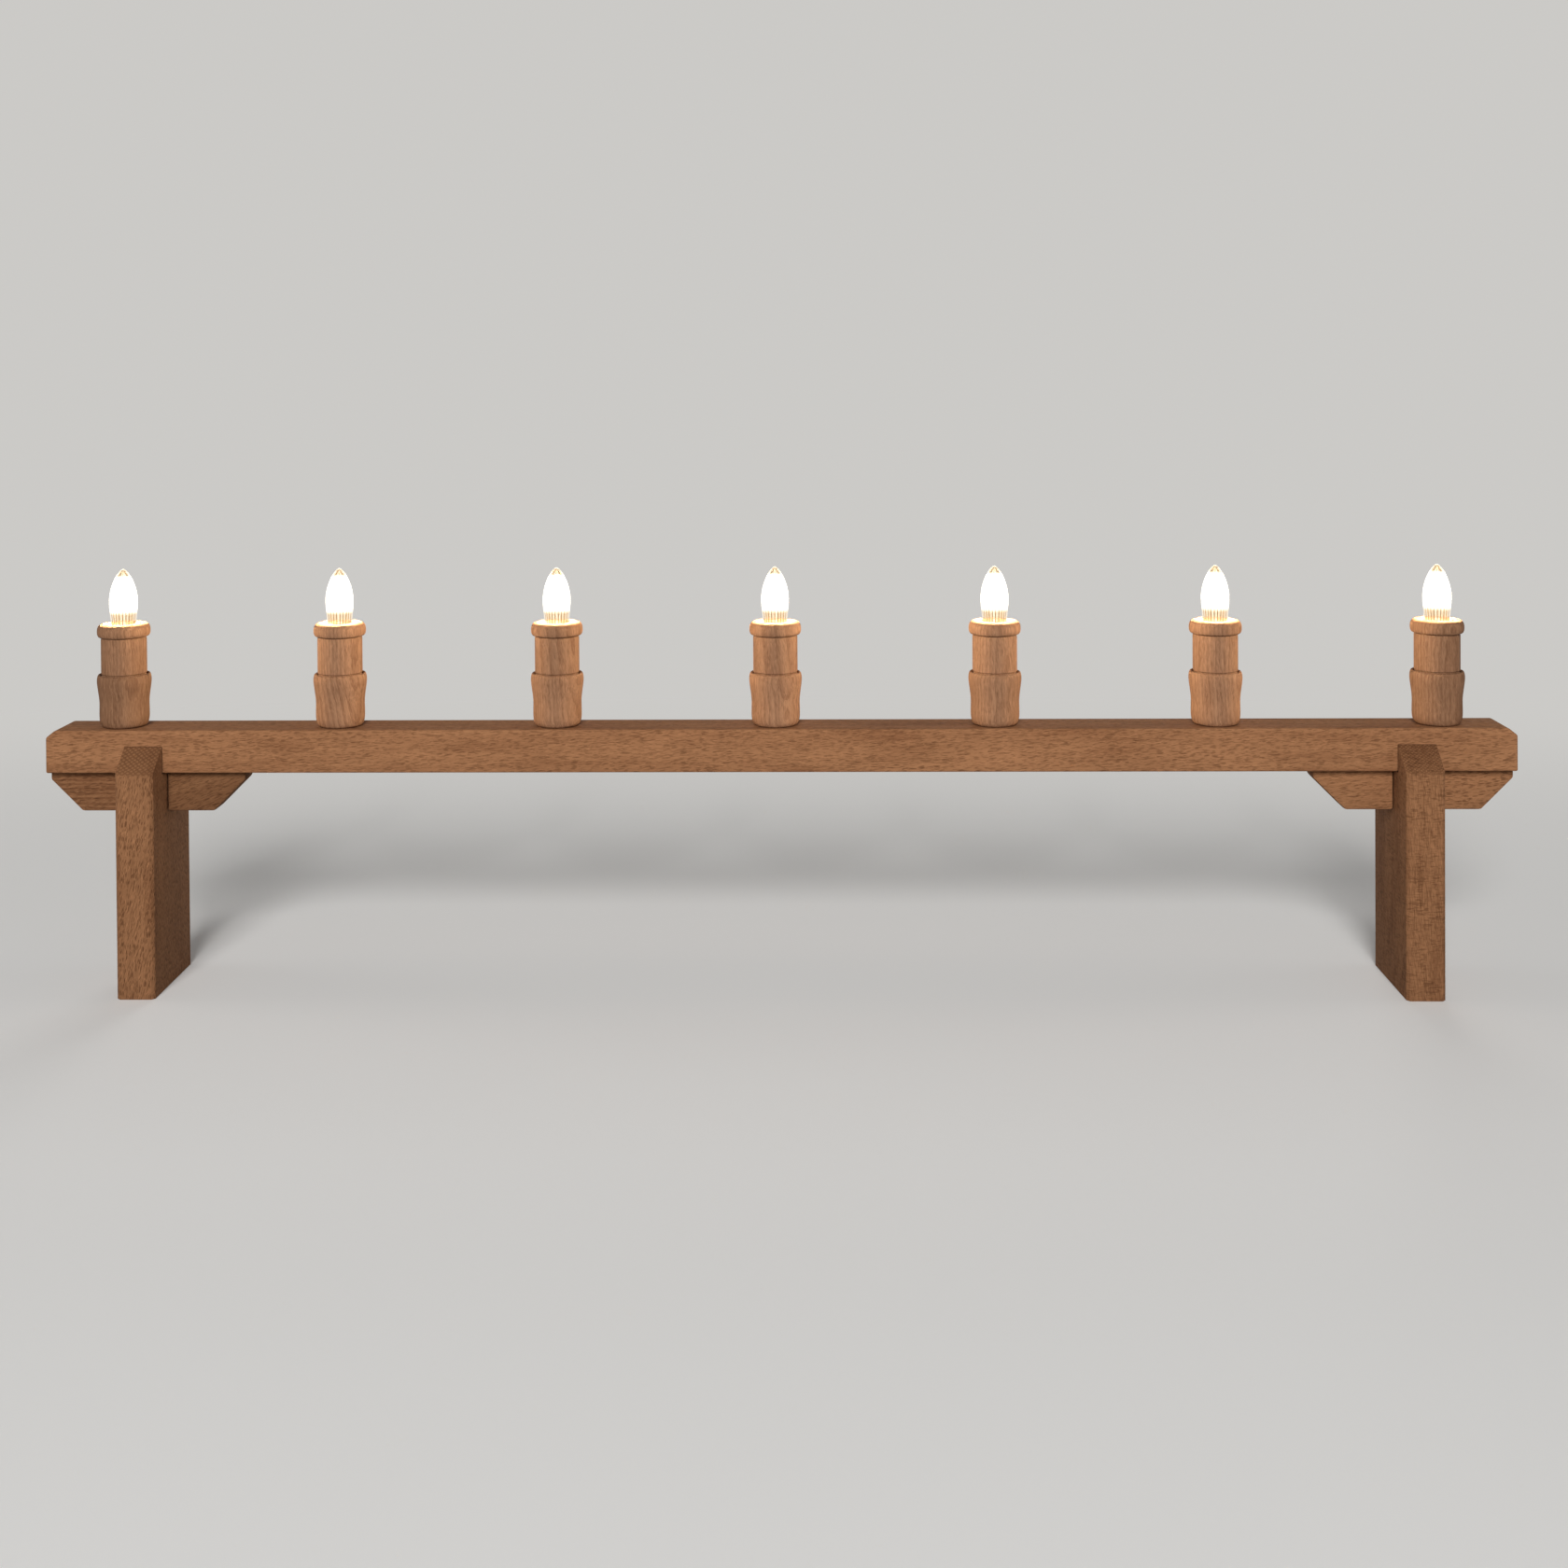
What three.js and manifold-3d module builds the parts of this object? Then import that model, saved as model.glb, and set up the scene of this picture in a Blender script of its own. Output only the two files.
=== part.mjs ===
// Electric advent candlestick for seven small lamps, in beech. A long beam lies in the notches of two
// upright planks, with a bracket block on either side of each plank. Seven turned candles stand on the
// beam in turned cups, each round a lampholder with a screw-in bulb, and the leads run in a groove under
// the beam.
// Units are millimetres. +X runs along the beam, -Y is the front, and +Z is up. The origin is on the
// table, under the middle of the beam.

import * as THREE from 'three';
import { mergeVertices } from 'three/addons/utils/BufferGeometryUtils.js';
import Module from 'manifold-3d';

const wasm = await Module();
wasm.setup();

// Clearances
const fitGap = 0.3;
const notchGap = 0.2;

// Beam
const beamLength = 598;
const beamDepth = 22;
const beamHeight = 17.5;
const beamEase = 0.7;
const beamEndChamferRun = 3.8;
const beamEndChamferDrop = 3;

// Legs
const legInset = 40.4;
const legThickness = 15.5;
const legDepth = 47;
const legArris = 1.9;
const notchFloorHeight = 89;
const hornFaceRise = 1.5;
const hornTopRise = 11;

// Bracket blocks
const bracketHeight = 16.7;
const bracketThickness = 11.4;
const bracketCut = 13;
const bracketEase = 0.9;
const bracketCornerRadius = 1.8;

// Candle cups
const lampCount = 7;
const lampEndInset = 29;
const cupHeight = 21.7;
const cupSeatDepth = 6;
const cupLipWidth = 0.4;
const footRadius = 7.9;
const footRise = 5;
const lowerRadius = 9.95;
const waistRadius = 9.9;
const waistHeight = 10;
const shoulderRadius = 10.8;
const shoulderDrop = 3.4;

// Candles
const candleStand = 21;
const candleRadius = 9.1;
const beadHeight = 5.6;
const beadRadius = 10.6;
const topFaceRadius = 8.4;
const mouthRadius = 6.4;
const mouthLip = 2.5;

// Lampholders
const holderRadius = 7;
const holderSeatDepth = 8;
const holderWall = 1.3;
const holderFloorThickness = 2;
const threadClearance = 0.35;
const holderMouthWall = 0.9;

// Bulbs
const bulbLength = 44;
const bulbStand = 22.3;
const capRadius = 4.75;
const capLength = 11.5;
const capWall = 0.4;
const capConeHeight = 1.6;
const tipRadius = 1.8;
const tipHeight = 1.4;
const glassRadius = 5.6;
const glassWall = 0.6;
const glassWidestDrop = 13;
const glassNeckDepth = 5;
const glassPointRadius = 0.5;

// Contacts and leads
const leafWidth = 5;
const leafLength = 8;
const leafThickness = 0.5;
const leafFoot = 1;
const leafPlateau = 2.4;
const leafArch = 2.2;
const leadRadius = 0.9;
const leadBend = 2.4;
const leadSpread = 1.6;
const laneOffset = 1.4;
const leadHoleRadius = 3.8;

// Wiring groove, its cover and the cord inlet
const grooveWidth = 6.4;
const grooveDepth = 6;
const grooveEndRoom = 1;
const coverWidth = 9;
const coverThickness = 1.5;
const inletReach = 14.5;
const inletRadius = 3.6;
const leadEndRoom = 1;

// Facets round each turned or drawn form
const candleSides = 18;
const holderSides = 12;
const bulbSides = 12;
const capSides = 12;
const smallSides = 8;
const leadSides = 8;
const bendSteps = 3;

// Heights and places that follow from the sizes above
const beamBottom = notchFloorHeight;
const beamTop = beamBottom + beamHeight;
const legCentre = beamLength / 2 - legInset;
const hornDepth = (legDepth - beamDepth) / 2 - notchGap;
const bracketLength = legInset - legThickness / 2 - fitGap;
const lampPitch = (beamLength - 2 * lampEndInset) / (lampCount - 1);
const cupTop = beamTop + cupHeight;
const candleBottom = cupTop - cupSeatDepth;
const candleTop = cupTop + candleStand;
const holderBottom = beamTop - holderSeatDepth;
const holderTop = candleTop - mouthLip - fitGap;
const boreRadius = holderRadius + fitGap;
const bulbTop = candleTop + bulbStand;
const bulbBottom = bulbTop - bulbLength;
const capBottom = bulbBottom + tipHeight;
const capTop = capBottom + capLength;
const threadBoreRadius = capRadius + threadClearance;
const leafTop = bulbBottom - fitGap;
const holderFloorTop = leafTop - leafThickness - leafArch;
const holderFloorBottom = holderFloorTop - holderFloorThickness;
const grooveTop = beamBottom + grooveDepth;
const laneHeight = grooveTop - fitGap - leadRadius;
const coverHalfLength = legCentre - legThickness / 2 - fitGap - bracketLength - fitGap;
const lampX = (index) => -beamLength / 2 + lampEndInset + index * lampPitch;
const inletX = lampX(0) - inletReach;
const leadEndX = inletX + inletRadius + leadEndRoom;

// Colours and finishes
const finish = (color, roughness, metalness = 0, extra = {}) =>
  new THREE.MeshStandardMaterial({ color, roughness, metalness, ...extra });
const beech = finish(0x9b6d4d, 0.62);
const turnedBeech = finish(0xa77a58, 0.55);
const bakelite = finish(0xe9e4d6, 0.45);
const brass = finish(0xc9a552, 0.32, 1);
const solder = finish(0xb9bcc0, 0.35, 1);
const insulation = finish(0xf2f0ea, 0.5);
const clearGlass = finish(0xfff1dc, 0.05, 0, {
  transparent: true, opacity: 0.35, emissive: 0xffd9a6, emissiveIntensity: 0.6,
});

const object = new THREE.Group();

function addPiece(name, geometry, material, parent = object) {
  const mesh = new THREE.Mesh(geometry, material);
  mesh.name = name;
  parent.add(mesh);
  return mesh;
}

// A closed geometry as a solid for joining and cutting
function toSolid(geometry) {
  const bare = geometry.clone();
  bare.deleteAttribute('normal');
  bare.deleteAttribute('uv');
  const merged = mergeVertices(bare);
  const index = merged.index.array;
  const corners = [];
  for (let i = 0; i < index.length; i += 3) {
    const [a, b, c] = [index[i], index[i + 1], index[i + 2]];
    if (a !== b && b !== c && c !== a) corners.push(a, b, c);
  }
  return new wasm.Manifold(new wasm.Mesh({
    numProp: 3,
    vertProperties: new Float32Array(merged.attributes.position.array),
    triVerts: new Uint32Array(corners),
  }));
}

function toGeometry(solid) {
  const mesh = solid.getMesh();
  const geometry = new THREE.BufferGeometry();
  geometry.setAttribute('position', new THREE.BufferAttribute(mesh.vertProperties, mesh.numProp));
  geometry.setIndex(new THREE.BufferAttribute(mesh.triVerts, 1));
  geometry.computeVertexNormals();
  return geometry;
}

// A box between two corners
function block(low, high) {
  const size = high.map((value, axis) => value - low[axis]);
  const middle = high.map((value, axis) => (value + low[axis]) / 2);
  return new THREE.BoxGeometry(...size).translate(...middle);
}

// An upright cylinder between two heights
function post(x, y, radius, low, high, sides) {
  const geometry = new THREE.CylinderGeometry(radius, radius, high - low, sides);
  return geometry.rotateX(Math.PI / 2).translate(x, y, (low + high) / 2);
}

// An outline drawn in X and Z, extruded evenly to both sides of Y = 0 with eased arrises
function eased(outline, thickness, ease) {
  const geometry = new THREE.ExtrudeGeometry(outline, {
    depth: thickness - 2 * ease,
    bevelEnabled: ease > 0,
    bevelThickness: ease,
    bevelSize: ease,
    bevelOffset: -ease,
    bevelSegments: 1,
    curveSegments: bendSteps,
  });
  return geometry.translate(0, 0, ease - thickness / 2).rotateX(Math.PI / 2);
}

// A round section with just as many corners as asked
function roundSection(radius, sides) {
  const shape = new THREE.Shape();
  for (let corner = 0; corner < sides; corner += 1) {
    const angle = (corner / sides) * 2 * Math.PI;
    const [x, y] = [radius * Math.cos(angle), radius * Math.sin(angle)];
    if (corner === 0) shape.moveTo(x, y);
    else shape.lineTo(x, y);
  }
  shape.closePath();
  return shape;
}

function rod(curve, radius, sides, steps) {
  return new THREE.ExtrudeGeometry(roundSection(radius, sides), {
    steps, extrudePath: curve, bevelEnabled: false,
  });
}

// A turned form: the outline is drawn as radius and height, going up the outside
function turned(outline, sides) {
  return new THREE.LatheGeometry(outline, sides).rotateX(Math.PI / 2);
}

const at = (radius, height) => new THREE.Vector2(radius, height);

// Points along a curve, without the first one, which the outline already has
const along = (curve, steps) => curve.getPoints(steps).slice(1);

// Beam

function beamOutline() {
  const half = beamLength / 2;
  const shape = new THREE.Shape();
  shape.moveTo(-half, beamBottom);
  shape.lineTo(half, beamBottom);
  shape.lineTo(half, beamTop - beamEndChamferDrop);
  shape.lineTo(half - beamEndChamferRun, beamTop);
  shape.lineTo(-half + beamEndChamferRun, beamTop);
  shape.lineTo(-half, beamTop - beamEndChamferDrop);
  shape.closePath();
  return shape;
}

function makeBeam() {
  let beam = toSolid(eased(beamOutline(), beamDepth, beamEase));
  const cut = (geometry) => {
    beam = beam.subtract(toSolid(geometry));
  };
  const past = 1;
  const lastLead = lampX(lampCount - 1) + leadSpread + leadRadius + grooveEndRoom;
  const grooveSide = grooveWidth / 2;
  cut(block([inletX - inletRadius, -grooveSide, beamBottom - past], [lastLead, grooveSide, grooveTop]));
  const rebateEnd = coverHalfLength + fitGap;
  const rebateSide = coverWidth / 2 + fitGap;
  cut(block(
    [-rebateEnd, -rebateSide, beamBottom - past],
    [rebateEnd, rebateSide, beamBottom + coverThickness + fitGap],
  ));
  for (let index = 0; index < lampCount; index += 1) {
    cut(post(lampX(index), 0, boreRadius, holderBottom, beamTop + past, holderSides));
    cut(post(lampX(index), 0, leadHoleRadius, grooveTop - past, holderBottom + past, holderSides));
  }
  const inletDepth = beamDepth / 2 + grooveSide;
  const inlet = new THREE.CylinderGeometry(inletRadius, inletRadius, inletDepth + past, holderSides);
  cut(inlet.translate(inletX, (inletDepth + past) / 2 - grooveSide, laneHeight));
  return toGeometry(beam);
}

addPiece('beam', makeBeam(), beech);

// Legs: a plank on edge, notched for the beam, with a bevelled horn before and behind it

function legSideOutline() {
  const half = legDepth / 2;
  const notch = half - hornDepth;
  const faceTop = notchFloorHeight + hornFaceRise;
  const hornTop = notchFloorHeight + hornTopRise;
  const shape = new THREE.Shape();
  shape.moveTo(-half, 0);
  shape.lineTo(half, 0);
  shape.lineTo(half, faceTop);
  shape.lineTo(notch, hornTop);
  shape.lineTo(notch, notchFloorHeight);
  shape.lineTo(-notch, notchFloorHeight);
  shape.lineTo(-notch, hornTop);
  shape.lineTo(-half, faceTop);
  shape.closePath();
  return shape;
}

function legPlanOutline() {
  const x = legThickness / 2;
  const y = legDepth / 2;
  const shape = new THREE.Shape();
  shape.moveTo(-x + legArris, -y);
  shape.lineTo(x - legArris, -y);
  shape.lineTo(x, -y + legArris);
  shape.lineTo(x, y - legArris);
  shape.lineTo(x - legArris, y);
  shape.lineTo(-x + legArris, y);
  shape.lineTo(-x, y - legArris);
  shape.lineTo(-x, -y + legArris);
  shape.closePath();
  return shape;
}

function makeLeg() {
  const side = new THREE.ExtrudeGeometry(legSideOutline(), { depth: legThickness, bevelEnabled: false });
  side.translate(0, 0, -legThickness / 2).rotateX(Math.PI / 2).rotateZ(Math.PI / 2);
  const legTop = notchFloorHeight + hornTopRise;
  const plan = new THREE.ExtrudeGeometry(legPlanOutline(), { depth: legTop, bevelEnabled: false });
  return toGeometry(toSolid(side).intersect(toSolid(plan)));
}

const legGeometry = makeLeg();
addPiece('leg_left', legGeometry, beech).position.x = -legCentre;
addPiece('leg_right', legGeometry, beech).position.x = legCentre;

// Bracket blocks: the free lower corner is cut off at 45 degrees, and the other one is rounded

function bracketOutline(direction) {
  const r = bracketCornerRadius;
  const x = (value) => direction * value;
  const shape = new THREE.Shape();
  shape.moveTo(0, 0);
  shape.lineTo(0, -bracketHeight + r);
  shape.quadraticCurveTo(0, -bracketHeight, x(r), -bracketHeight);
  shape.lineTo(x(bracketLength - bracketCut), -bracketHeight);
  shape.lineTo(x(bracketLength), -bracketHeight + bracketCut);
  shape.lineTo(x(bracketLength), 0);
  shape.closePath();
  return shape;
}

for (const [side, sign] of [['left', -1], ['right', 1]]) {
  for (const [place, away] of [['outer', 1], ['inner', -1]]) {
    const direction = sign * away;
    const geometry = eased(bracketOutline(direction), bracketThickness, bracketEase);
    const bracket = addPiece(`bracket_${side}_${place}`, geometry, beech);
    const legFace = sign * legCentre + direction * (legThickness / 2 + fitGap);
    bracket.position.set(legFace, 0, beamBottom);
  }
}

// Candle cups: a rounded foot, a shallow waist and a full shoulder, counterbored for the candle

function makeCup() {
  const shoulder = cupHeight - shoulderDrop;
  const seatRadius = candleRadius + fitGap;
  const foot = new THREE.QuadraticBezierCurve(at(footRadius, 0), at(lowerRadius, 0), at(lowerRadius, footRise));
  const waist = new THREE.SplineCurve([
    at(lowerRadius, footRise), at(waistRadius, waistHeight), at(shoulderRadius, shoulder),
  ]);
  const lip = new THREE.QuadraticBezierCurve(
    at(shoulderRadius, shoulder), at(shoulderRadius, cupHeight), at(seatRadius + cupLipWidth, cupHeight),
  );
  return turned([
    at(boreRadius, 0),
    at(footRadius, 0),
    ...along(foot, 2),
    ...along(waist, 3),
    ...along(lip, 3),
    at(seatRadius, cupHeight - fitGap),
    at(seatRadius, cupHeight - cupSeatDepth),
    at(boreRadius, cupHeight - cupSeatDepth),
    at(boreRadius, 0),
  ], candleSides);
}

// Candles: a plain cylinder seated in the cup, with a bead round its rim

function makeCandle() {
  const height = candleTop - candleBottom;
  const neck = height - beadHeight;
  const beadMiddle = height - beadHeight / 2;
  const beadLow = new THREE.QuadraticBezierCurve(
    at(candleRadius, neck), at(beadRadius, neck), at(beadRadius, beadMiddle),
  );
  const beadHigh = new THREE.QuadraticBezierCurve(
    at(beadRadius, beadMiddle), at(beadRadius, height), at(topFaceRadius, height),
  );
  return turned([
    at(boreRadius, 0),
    at(candleRadius, 0),
    at(candleRadius, neck),
    ...along(beadLow, 2),
    ...along(beadHigh, 2),
    at(mouthRadius, height),
    at(mouthRadius, height - mouthLip),
    at(boreRadius, height - mouthLip),
    at(boreRadius, 0),
  ], candleSides);
}

// Lampholders: a tube seated in the beam, with a floor under the bulb and a screw bore above it

function makeHolder() {
  const hollow = holderRadius - holderWall;
  const mouth = holderRadius - holderMouthWall;
  const body = toSolid(turned([
    at(0, holderFloorBottom),
    at(hollow, holderFloorBottom),
    at(hollow, holderBottom),
    at(holderRadius, holderBottom),
    at(holderRadius, holderTop),
    at(mouth, holderTop),
    at(mouth, capTop + fitGap),
    at(threadBoreRadius, capTop + fitGap),
    at(threadBoreRadius, holderFloorTop),
    at(0, holderFloorTop),
  ], holderSides));
  const past = 1;
  const leadHole = post(
    -leadSpread, laneOffset, leadRadius + fitGap, holderFloorBottom - past, holderFloorTop + past, smallSides,
  );
  return toGeometry(body.subtract(toSolid(leadHole)));
}

// Bulbs: a screw cap, the solder tip under it and a pointed clear glass

function makeCap() {
  const crimp = capRadius * 0.96;
  const inner = capRadius - capWall;
  const insulatorRadius = tipRadius + capWall;
  const shellBottom = capBottom + capConeHeight;
  return turned([
    at(0, capBottom),
    at(insulatorRadius, capBottom),
    at(capRadius, shellBottom),
    at(capRadius, capTop - capConeHeight),
    at(crimp, capTop),
    at(inner - fitGap / 2, capTop),
    at(inner, capTop - capConeHeight),
    at(inner, shellBottom + capWall),
    at(0, shellBottom + capWall),
  ], capSides);
}

function makeTip() {
  const top = capBottom - fitGap / 3;
  const dome = tipHeight / 3;
  return turned([
    at(0, bulbBottom),
    at(tipRadius / 2, bulbBottom),
    at(tipRadius, bulbBottom + dome),
    at(tipRadius, top),
    at(0, top),
  ], smallSides);
}

// The flame-shaped glass, from its neck in the cap to its drawn-out point
function glassOutline(inset, swellSteps, flameSteps) {
  const neckRadius = capRadius - capWall - fitGap - inset;
  const neckBottom = capTop - glassNeckDepth;
  const widest = bulbTop - glassWidestDrop;
  const radius = glassRadius - inset;
  const top = bulbTop - inset;
  const neck = at(neckRadius, capTop + fitGap);
  const swell = new THREE.CubicBezierCurve(
    neck, at(neckRadius * 1.1, capTop + 5.6), at(radius, widest - 6), at(radius, widest),
  );
  const flame = new THREE.CubicBezierCurve(
    at(radius, widest), at(radius, widest + 5.3), at(radius * 0.52, top - 1.9), at(glassPointRadius, top),
  );
  return [at(neckRadius, neckBottom), neck, ...along(swell, swellSteps), ...along(flame, flameSteps)];
}

function makeGlass() {
  const outside = glassOutline(0, 3, 4);
  const inside = glassOutline(glassWall, 2, 3).reverse();
  return turned([
    ...outside, at(0, bulbTop), at(0, bulbTop - glassWall), ...inside, outside[0],
  ], bulbSides);
}

// Leads: insulated wire that runs straight between rounded bends

class BentLead extends THREE.Curve {
  constructor(corners, radius) {
    super();
    this.knots = [corners[0]];
    this.headings = [corners[1].clone().sub(corners[0]).normalize()];
    for (let i = 1; i < corners.length - 1; i += 1) {
      const incoming = corners[i].clone().sub(corners[i - 1]).normalize();
      const outgoing = corners[i + 1].clone().sub(corners[i]).normalize();
      const centre = corners[i].clone().addScaledVector(incoming, -radius).addScaledVector(outgoing, radius);
      for (let step = 0; step <= bendSteps; step += 1) {
        const angle = (step / bendSteps) * (Math.PI / 2);
        const knot = centre.clone()
          .addScaledVector(outgoing, -radius * Math.cos(angle))
          .addScaledVector(incoming, radius * Math.sin(angle));
        const heading = incoming.clone().multiplyScalar(Math.cos(angle))
          .addScaledVector(outgoing, Math.sin(angle));
        this.knots.push(knot);
        this.headings.push(heading);
      }
    }
    this.knots.push(corners[corners.length - 1]);
    this.headings.push(this.knots.at(-1).clone().sub(corners[corners.length - 2]).normalize());
  }

  // The knots are the only steps, so a straight run has just its two ends
  getUtoTmapping(u) {
    return u;
  }

  getPoint(t, target = new THREE.Vector3()) {
    const place = t * (this.knots.length - 1);
    const before = Math.min(Math.floor(place), this.knots.length - 2);
    return target.lerpVectors(this.knots[before], this.knots[before + 1], place - before);
  }

  getTangent(t, target = new THREE.Vector3()) {
    return target.copy(this.headings[Math.round(t * (this.headings.length - 1))]);
  }
}

function makeLead(corners) {
  const path = new BentLead(corners.map((corner) => new THREE.Vector3(...corner)), leadBend);
  return rod(path, leadRadius, leadSides, path.knots.length - 1);
}

// The sprung brass leaf under each bulb, bridging the floor of its lampholder
function makeLeaf() {
  const foot = holderFloorTop;
  const half = leafLength / 2;
  const flat = leafPlateau / 2;
  const t = leafThickness;
  const shape = new THREE.Shape();
  shape.moveTo(-half, foot);
  shape.lineTo(-half + leafFoot, foot);
  shape.lineTo(-flat, foot + leafArch);
  shape.lineTo(flat, foot + leafArch);
  shape.lineTo(half - leafFoot, foot);
  shape.lineTo(half, foot);
  shape.lineTo(half, foot + t);
  shape.lineTo(half - leafFoot + t / 2, foot + t);
  shape.lineTo(flat + t / 2, leafTop);
  shape.lineTo(-flat - t / 2, leafTop);
  shape.lineTo(-half + leafFoot - t / 2, foot + t);
  shape.lineTo(-half, foot + t);
  shape.closePath();
  return eased(shape, leafWidth, 0);
}

// Each lamp's lead comes from the lamp before it, or from beside the inlet, and ends crimped to its leaf
function leadCorners(index) {
  const leafEnd = leafTop - leafThickness / 2;
  const arrival = lampX(index) - leadSpread;
  const rise = [[arrival, laneOffset, laneHeight], [arrival, laneOffset, leafEnd]];
  if (index === 0) return [[leadEndX, laneOffset, laneHeight], ...rise];
  const departure = lampX(index - 1) + leadSpread;
  const terminal = holderFloorBottom - fitGap;
  return [[departure, laneOffset, terminal], [departure, laneOffset, laneHeight], ...rise];
}

function makeReturnLead() {
  const departure = lampX(lampCount - 1) + leadSpread;
  return makeLead([
    [departure, -laneOffset, holderFloorBottom - fitGap],
    [departure, -laneOffset, laneHeight],
    [leadEndX, -laneOffset, laneHeight],
  ]);
}

const cupGeometry = makeCup();
const candleGeometry = makeCandle();
const holderGeometry = makeHolder();
const capGeometry = makeCap();
const tipGeometry = makeTip();
const glassGeometry = makeGlass();
const leafGeometry = makeLeaf();

for (let index = 0; index < lampCount; index += 1) {
  const number = index + 1;
  const lamp = new THREE.Group();
  lamp.position.x = lampX(index);
  object.add(lamp);
  addPiece(`candle_cup_${number}`, cupGeometry, turnedBeech, lamp).position.z = beamTop;
  addPiece(`candle_${number}`, candleGeometry, turnedBeech, lamp).position.z = candleBottom;
  addPiece(`lampholder_${number}`, holderGeometry, bakelite, lamp);
  addPiece(`bulb_cap_${number}`, capGeometry, brass, lamp);
  addPiece(`bulb_tip_${number}`, tipGeometry, solder, lamp);
  addPiece(`bulb_glass_${number}`, glassGeometry, clearGlass, lamp);
  const leaf = toSolid(leafGeometry.clone().translate(lampX(index), 0, 0));
  const contactLead = leaf.add(toSolid(makeLead(leadCorners(index))));
  addPiece(`contact_lead_${number}`, toGeometry(contactLead), insulation);
}
addPiece('return_lead', makeReturnLead(), insulation);

// The strip that closes the groove between the inner brackets
addPiece('groove_cover', block(
  [-coverHalfLength, -coverWidth / 2, beamBottom],
  [coverHalfLength, coverWidth / 2, beamBottom + coverThickness],
), beech);

export default object;
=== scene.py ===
import math

import bpy
import bmesh
from mathutils import Matrix, Vector


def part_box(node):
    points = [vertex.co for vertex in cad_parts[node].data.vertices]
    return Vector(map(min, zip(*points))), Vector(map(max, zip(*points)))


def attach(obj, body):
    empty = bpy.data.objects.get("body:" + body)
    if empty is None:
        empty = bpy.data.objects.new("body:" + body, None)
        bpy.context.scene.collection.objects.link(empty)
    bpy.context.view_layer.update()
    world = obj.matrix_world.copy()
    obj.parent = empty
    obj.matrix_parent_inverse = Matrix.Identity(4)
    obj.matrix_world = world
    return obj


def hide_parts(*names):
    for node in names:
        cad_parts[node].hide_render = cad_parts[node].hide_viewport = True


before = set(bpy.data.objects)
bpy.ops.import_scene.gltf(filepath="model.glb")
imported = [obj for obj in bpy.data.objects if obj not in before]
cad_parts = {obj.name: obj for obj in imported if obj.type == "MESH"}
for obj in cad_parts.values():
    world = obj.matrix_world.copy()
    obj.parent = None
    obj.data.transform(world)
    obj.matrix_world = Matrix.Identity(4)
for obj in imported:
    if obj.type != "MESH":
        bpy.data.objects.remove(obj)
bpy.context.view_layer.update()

MM = 0.001
LAMPS = range(1, 8)

# Corners closer than this are one corner
TINY = 1e-6

# Places that agree to this are the same place on the object
NEAR = 0.01 * MM

# Beam, legs and brackets
BEAM_EASE = 0.7 * MM
BEAM_CHAMFER_RUN = 3.8 * MM
BEAM_CHAMFER_DROP = 3.0 * MM
LEG_ARRIS = 1.9 * MM
LEG_EASE = 0.3 * MM
HORN_FACE_DROP = 9.5 * MM
NOTCH_GAP = 0.2 * MM
NOTCH_FLOOR = 89.0 * MM
BRACKET_CUT = 13.0 * MM
BRACKET_EASE = 0.9 * MM
BRACKET_CORNER = 1.0 * MM
COVER_EASE = 0.35 * MM

# Bores in the beam, its wiring groove and the cord inlet. Cutters reach past the faces that they open
PAST = 1.0 * MM
BORE_SIDES = 48
BORE_RADIUS = 7.3 * MM
LEAD_HOLE_RADIUS = 3.8 * MM
HOLDER_SEAT = 8.0 * MM
GROOVE_WIDTH = 6.4 * MM
GROOVE_DEPTH = 6.0 * MM
GROOVE_END_ROOM = 3.5 * MM
CLEARANCE = 0.3 * MM
REBATE_SIDE = 4.8 * MM
REBATE_DEPTH = 1.8 * MM
INLET_RADIUS = 3.6 * MM
INLET_REACH = 14.5 * MM
LANE_HEIGHT = 93.8 * MM

# Turned cups and candles
TURNED_SIDES = 96

# Bulbs, in their screw caps, and what they screw into
PITCH = 1.814 * MM
THREAD_ROOT = 4.3 * MM
THREAD_CREST = 4.75 * MM
THREAD_ROOM = 0.35 * MM
THREAD_STEPS = 8
THREAD_SIDES = 40
THREAD_TURNS = 11
CAP_BOTTOM = 128.9 * MM
CAP_TOP = 140.4 * MM
GLASS_RIBS = 24
RIB_STEPS = 6
GLASS_WALL = 0.45 * MM
FILAMENT_HEIGHT = 157.5 * MM
HOLDER_RADIUS = 7.0 * MM
LEAF_FOOT = 124.5 * MM
LEAF_SPREAD = 5.0 * MM
LEAF_SHEET = 0.48 * MM
LEAD_TOP = 126.6 * MM
LEAD_TERMINAL = 122.2 * MM
LEAD_RADIUS = 0.9 * MM
LEAD_BEND = 2.4 * MM
LEAD_SPREAD = 1.6 * MM
LANE_OFFSET = 1.4 * MM

# Wood grain: noise cells in a metre, along the grain and across it
SLOW_BENDS = (11, 45, 45)
QUICK_BENDS = (170, 420, 420)
STREAKS = (22, 420, 420)
CLOUDS = (24, 80, 80)
FIBRES = (210, 2600, 2600)
STROKES = (280, 2100, 2100)
BARS = (1500, 330, 330)
BAR_PATCHES = (160, 240, 240)

# Wood grain: how far the bends reach, where the painted highlights (glints) lie beside the flecks, how far
# # the two sets of hatching lines lean in radians, and the finish
SLOW_REACH = 5.0 * MM
QUICK_REACH = 0.9 * MM
PAINTED_GLINT_STEP = (0.4 * MM, 0.25 * MM, 0.25 * MM)
HATCH_ANGLE = 0.95
WOOD_DASH = "4d2c1a"
WOOD_ROUGHNESS = 0.66
WOOD_GLOSS = 0.06
PORE_DEPTH = 0.1 * MM

# A wave texture of scale 1 repeats after this length in metres
WAVE_LENGTH = 0.314

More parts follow.
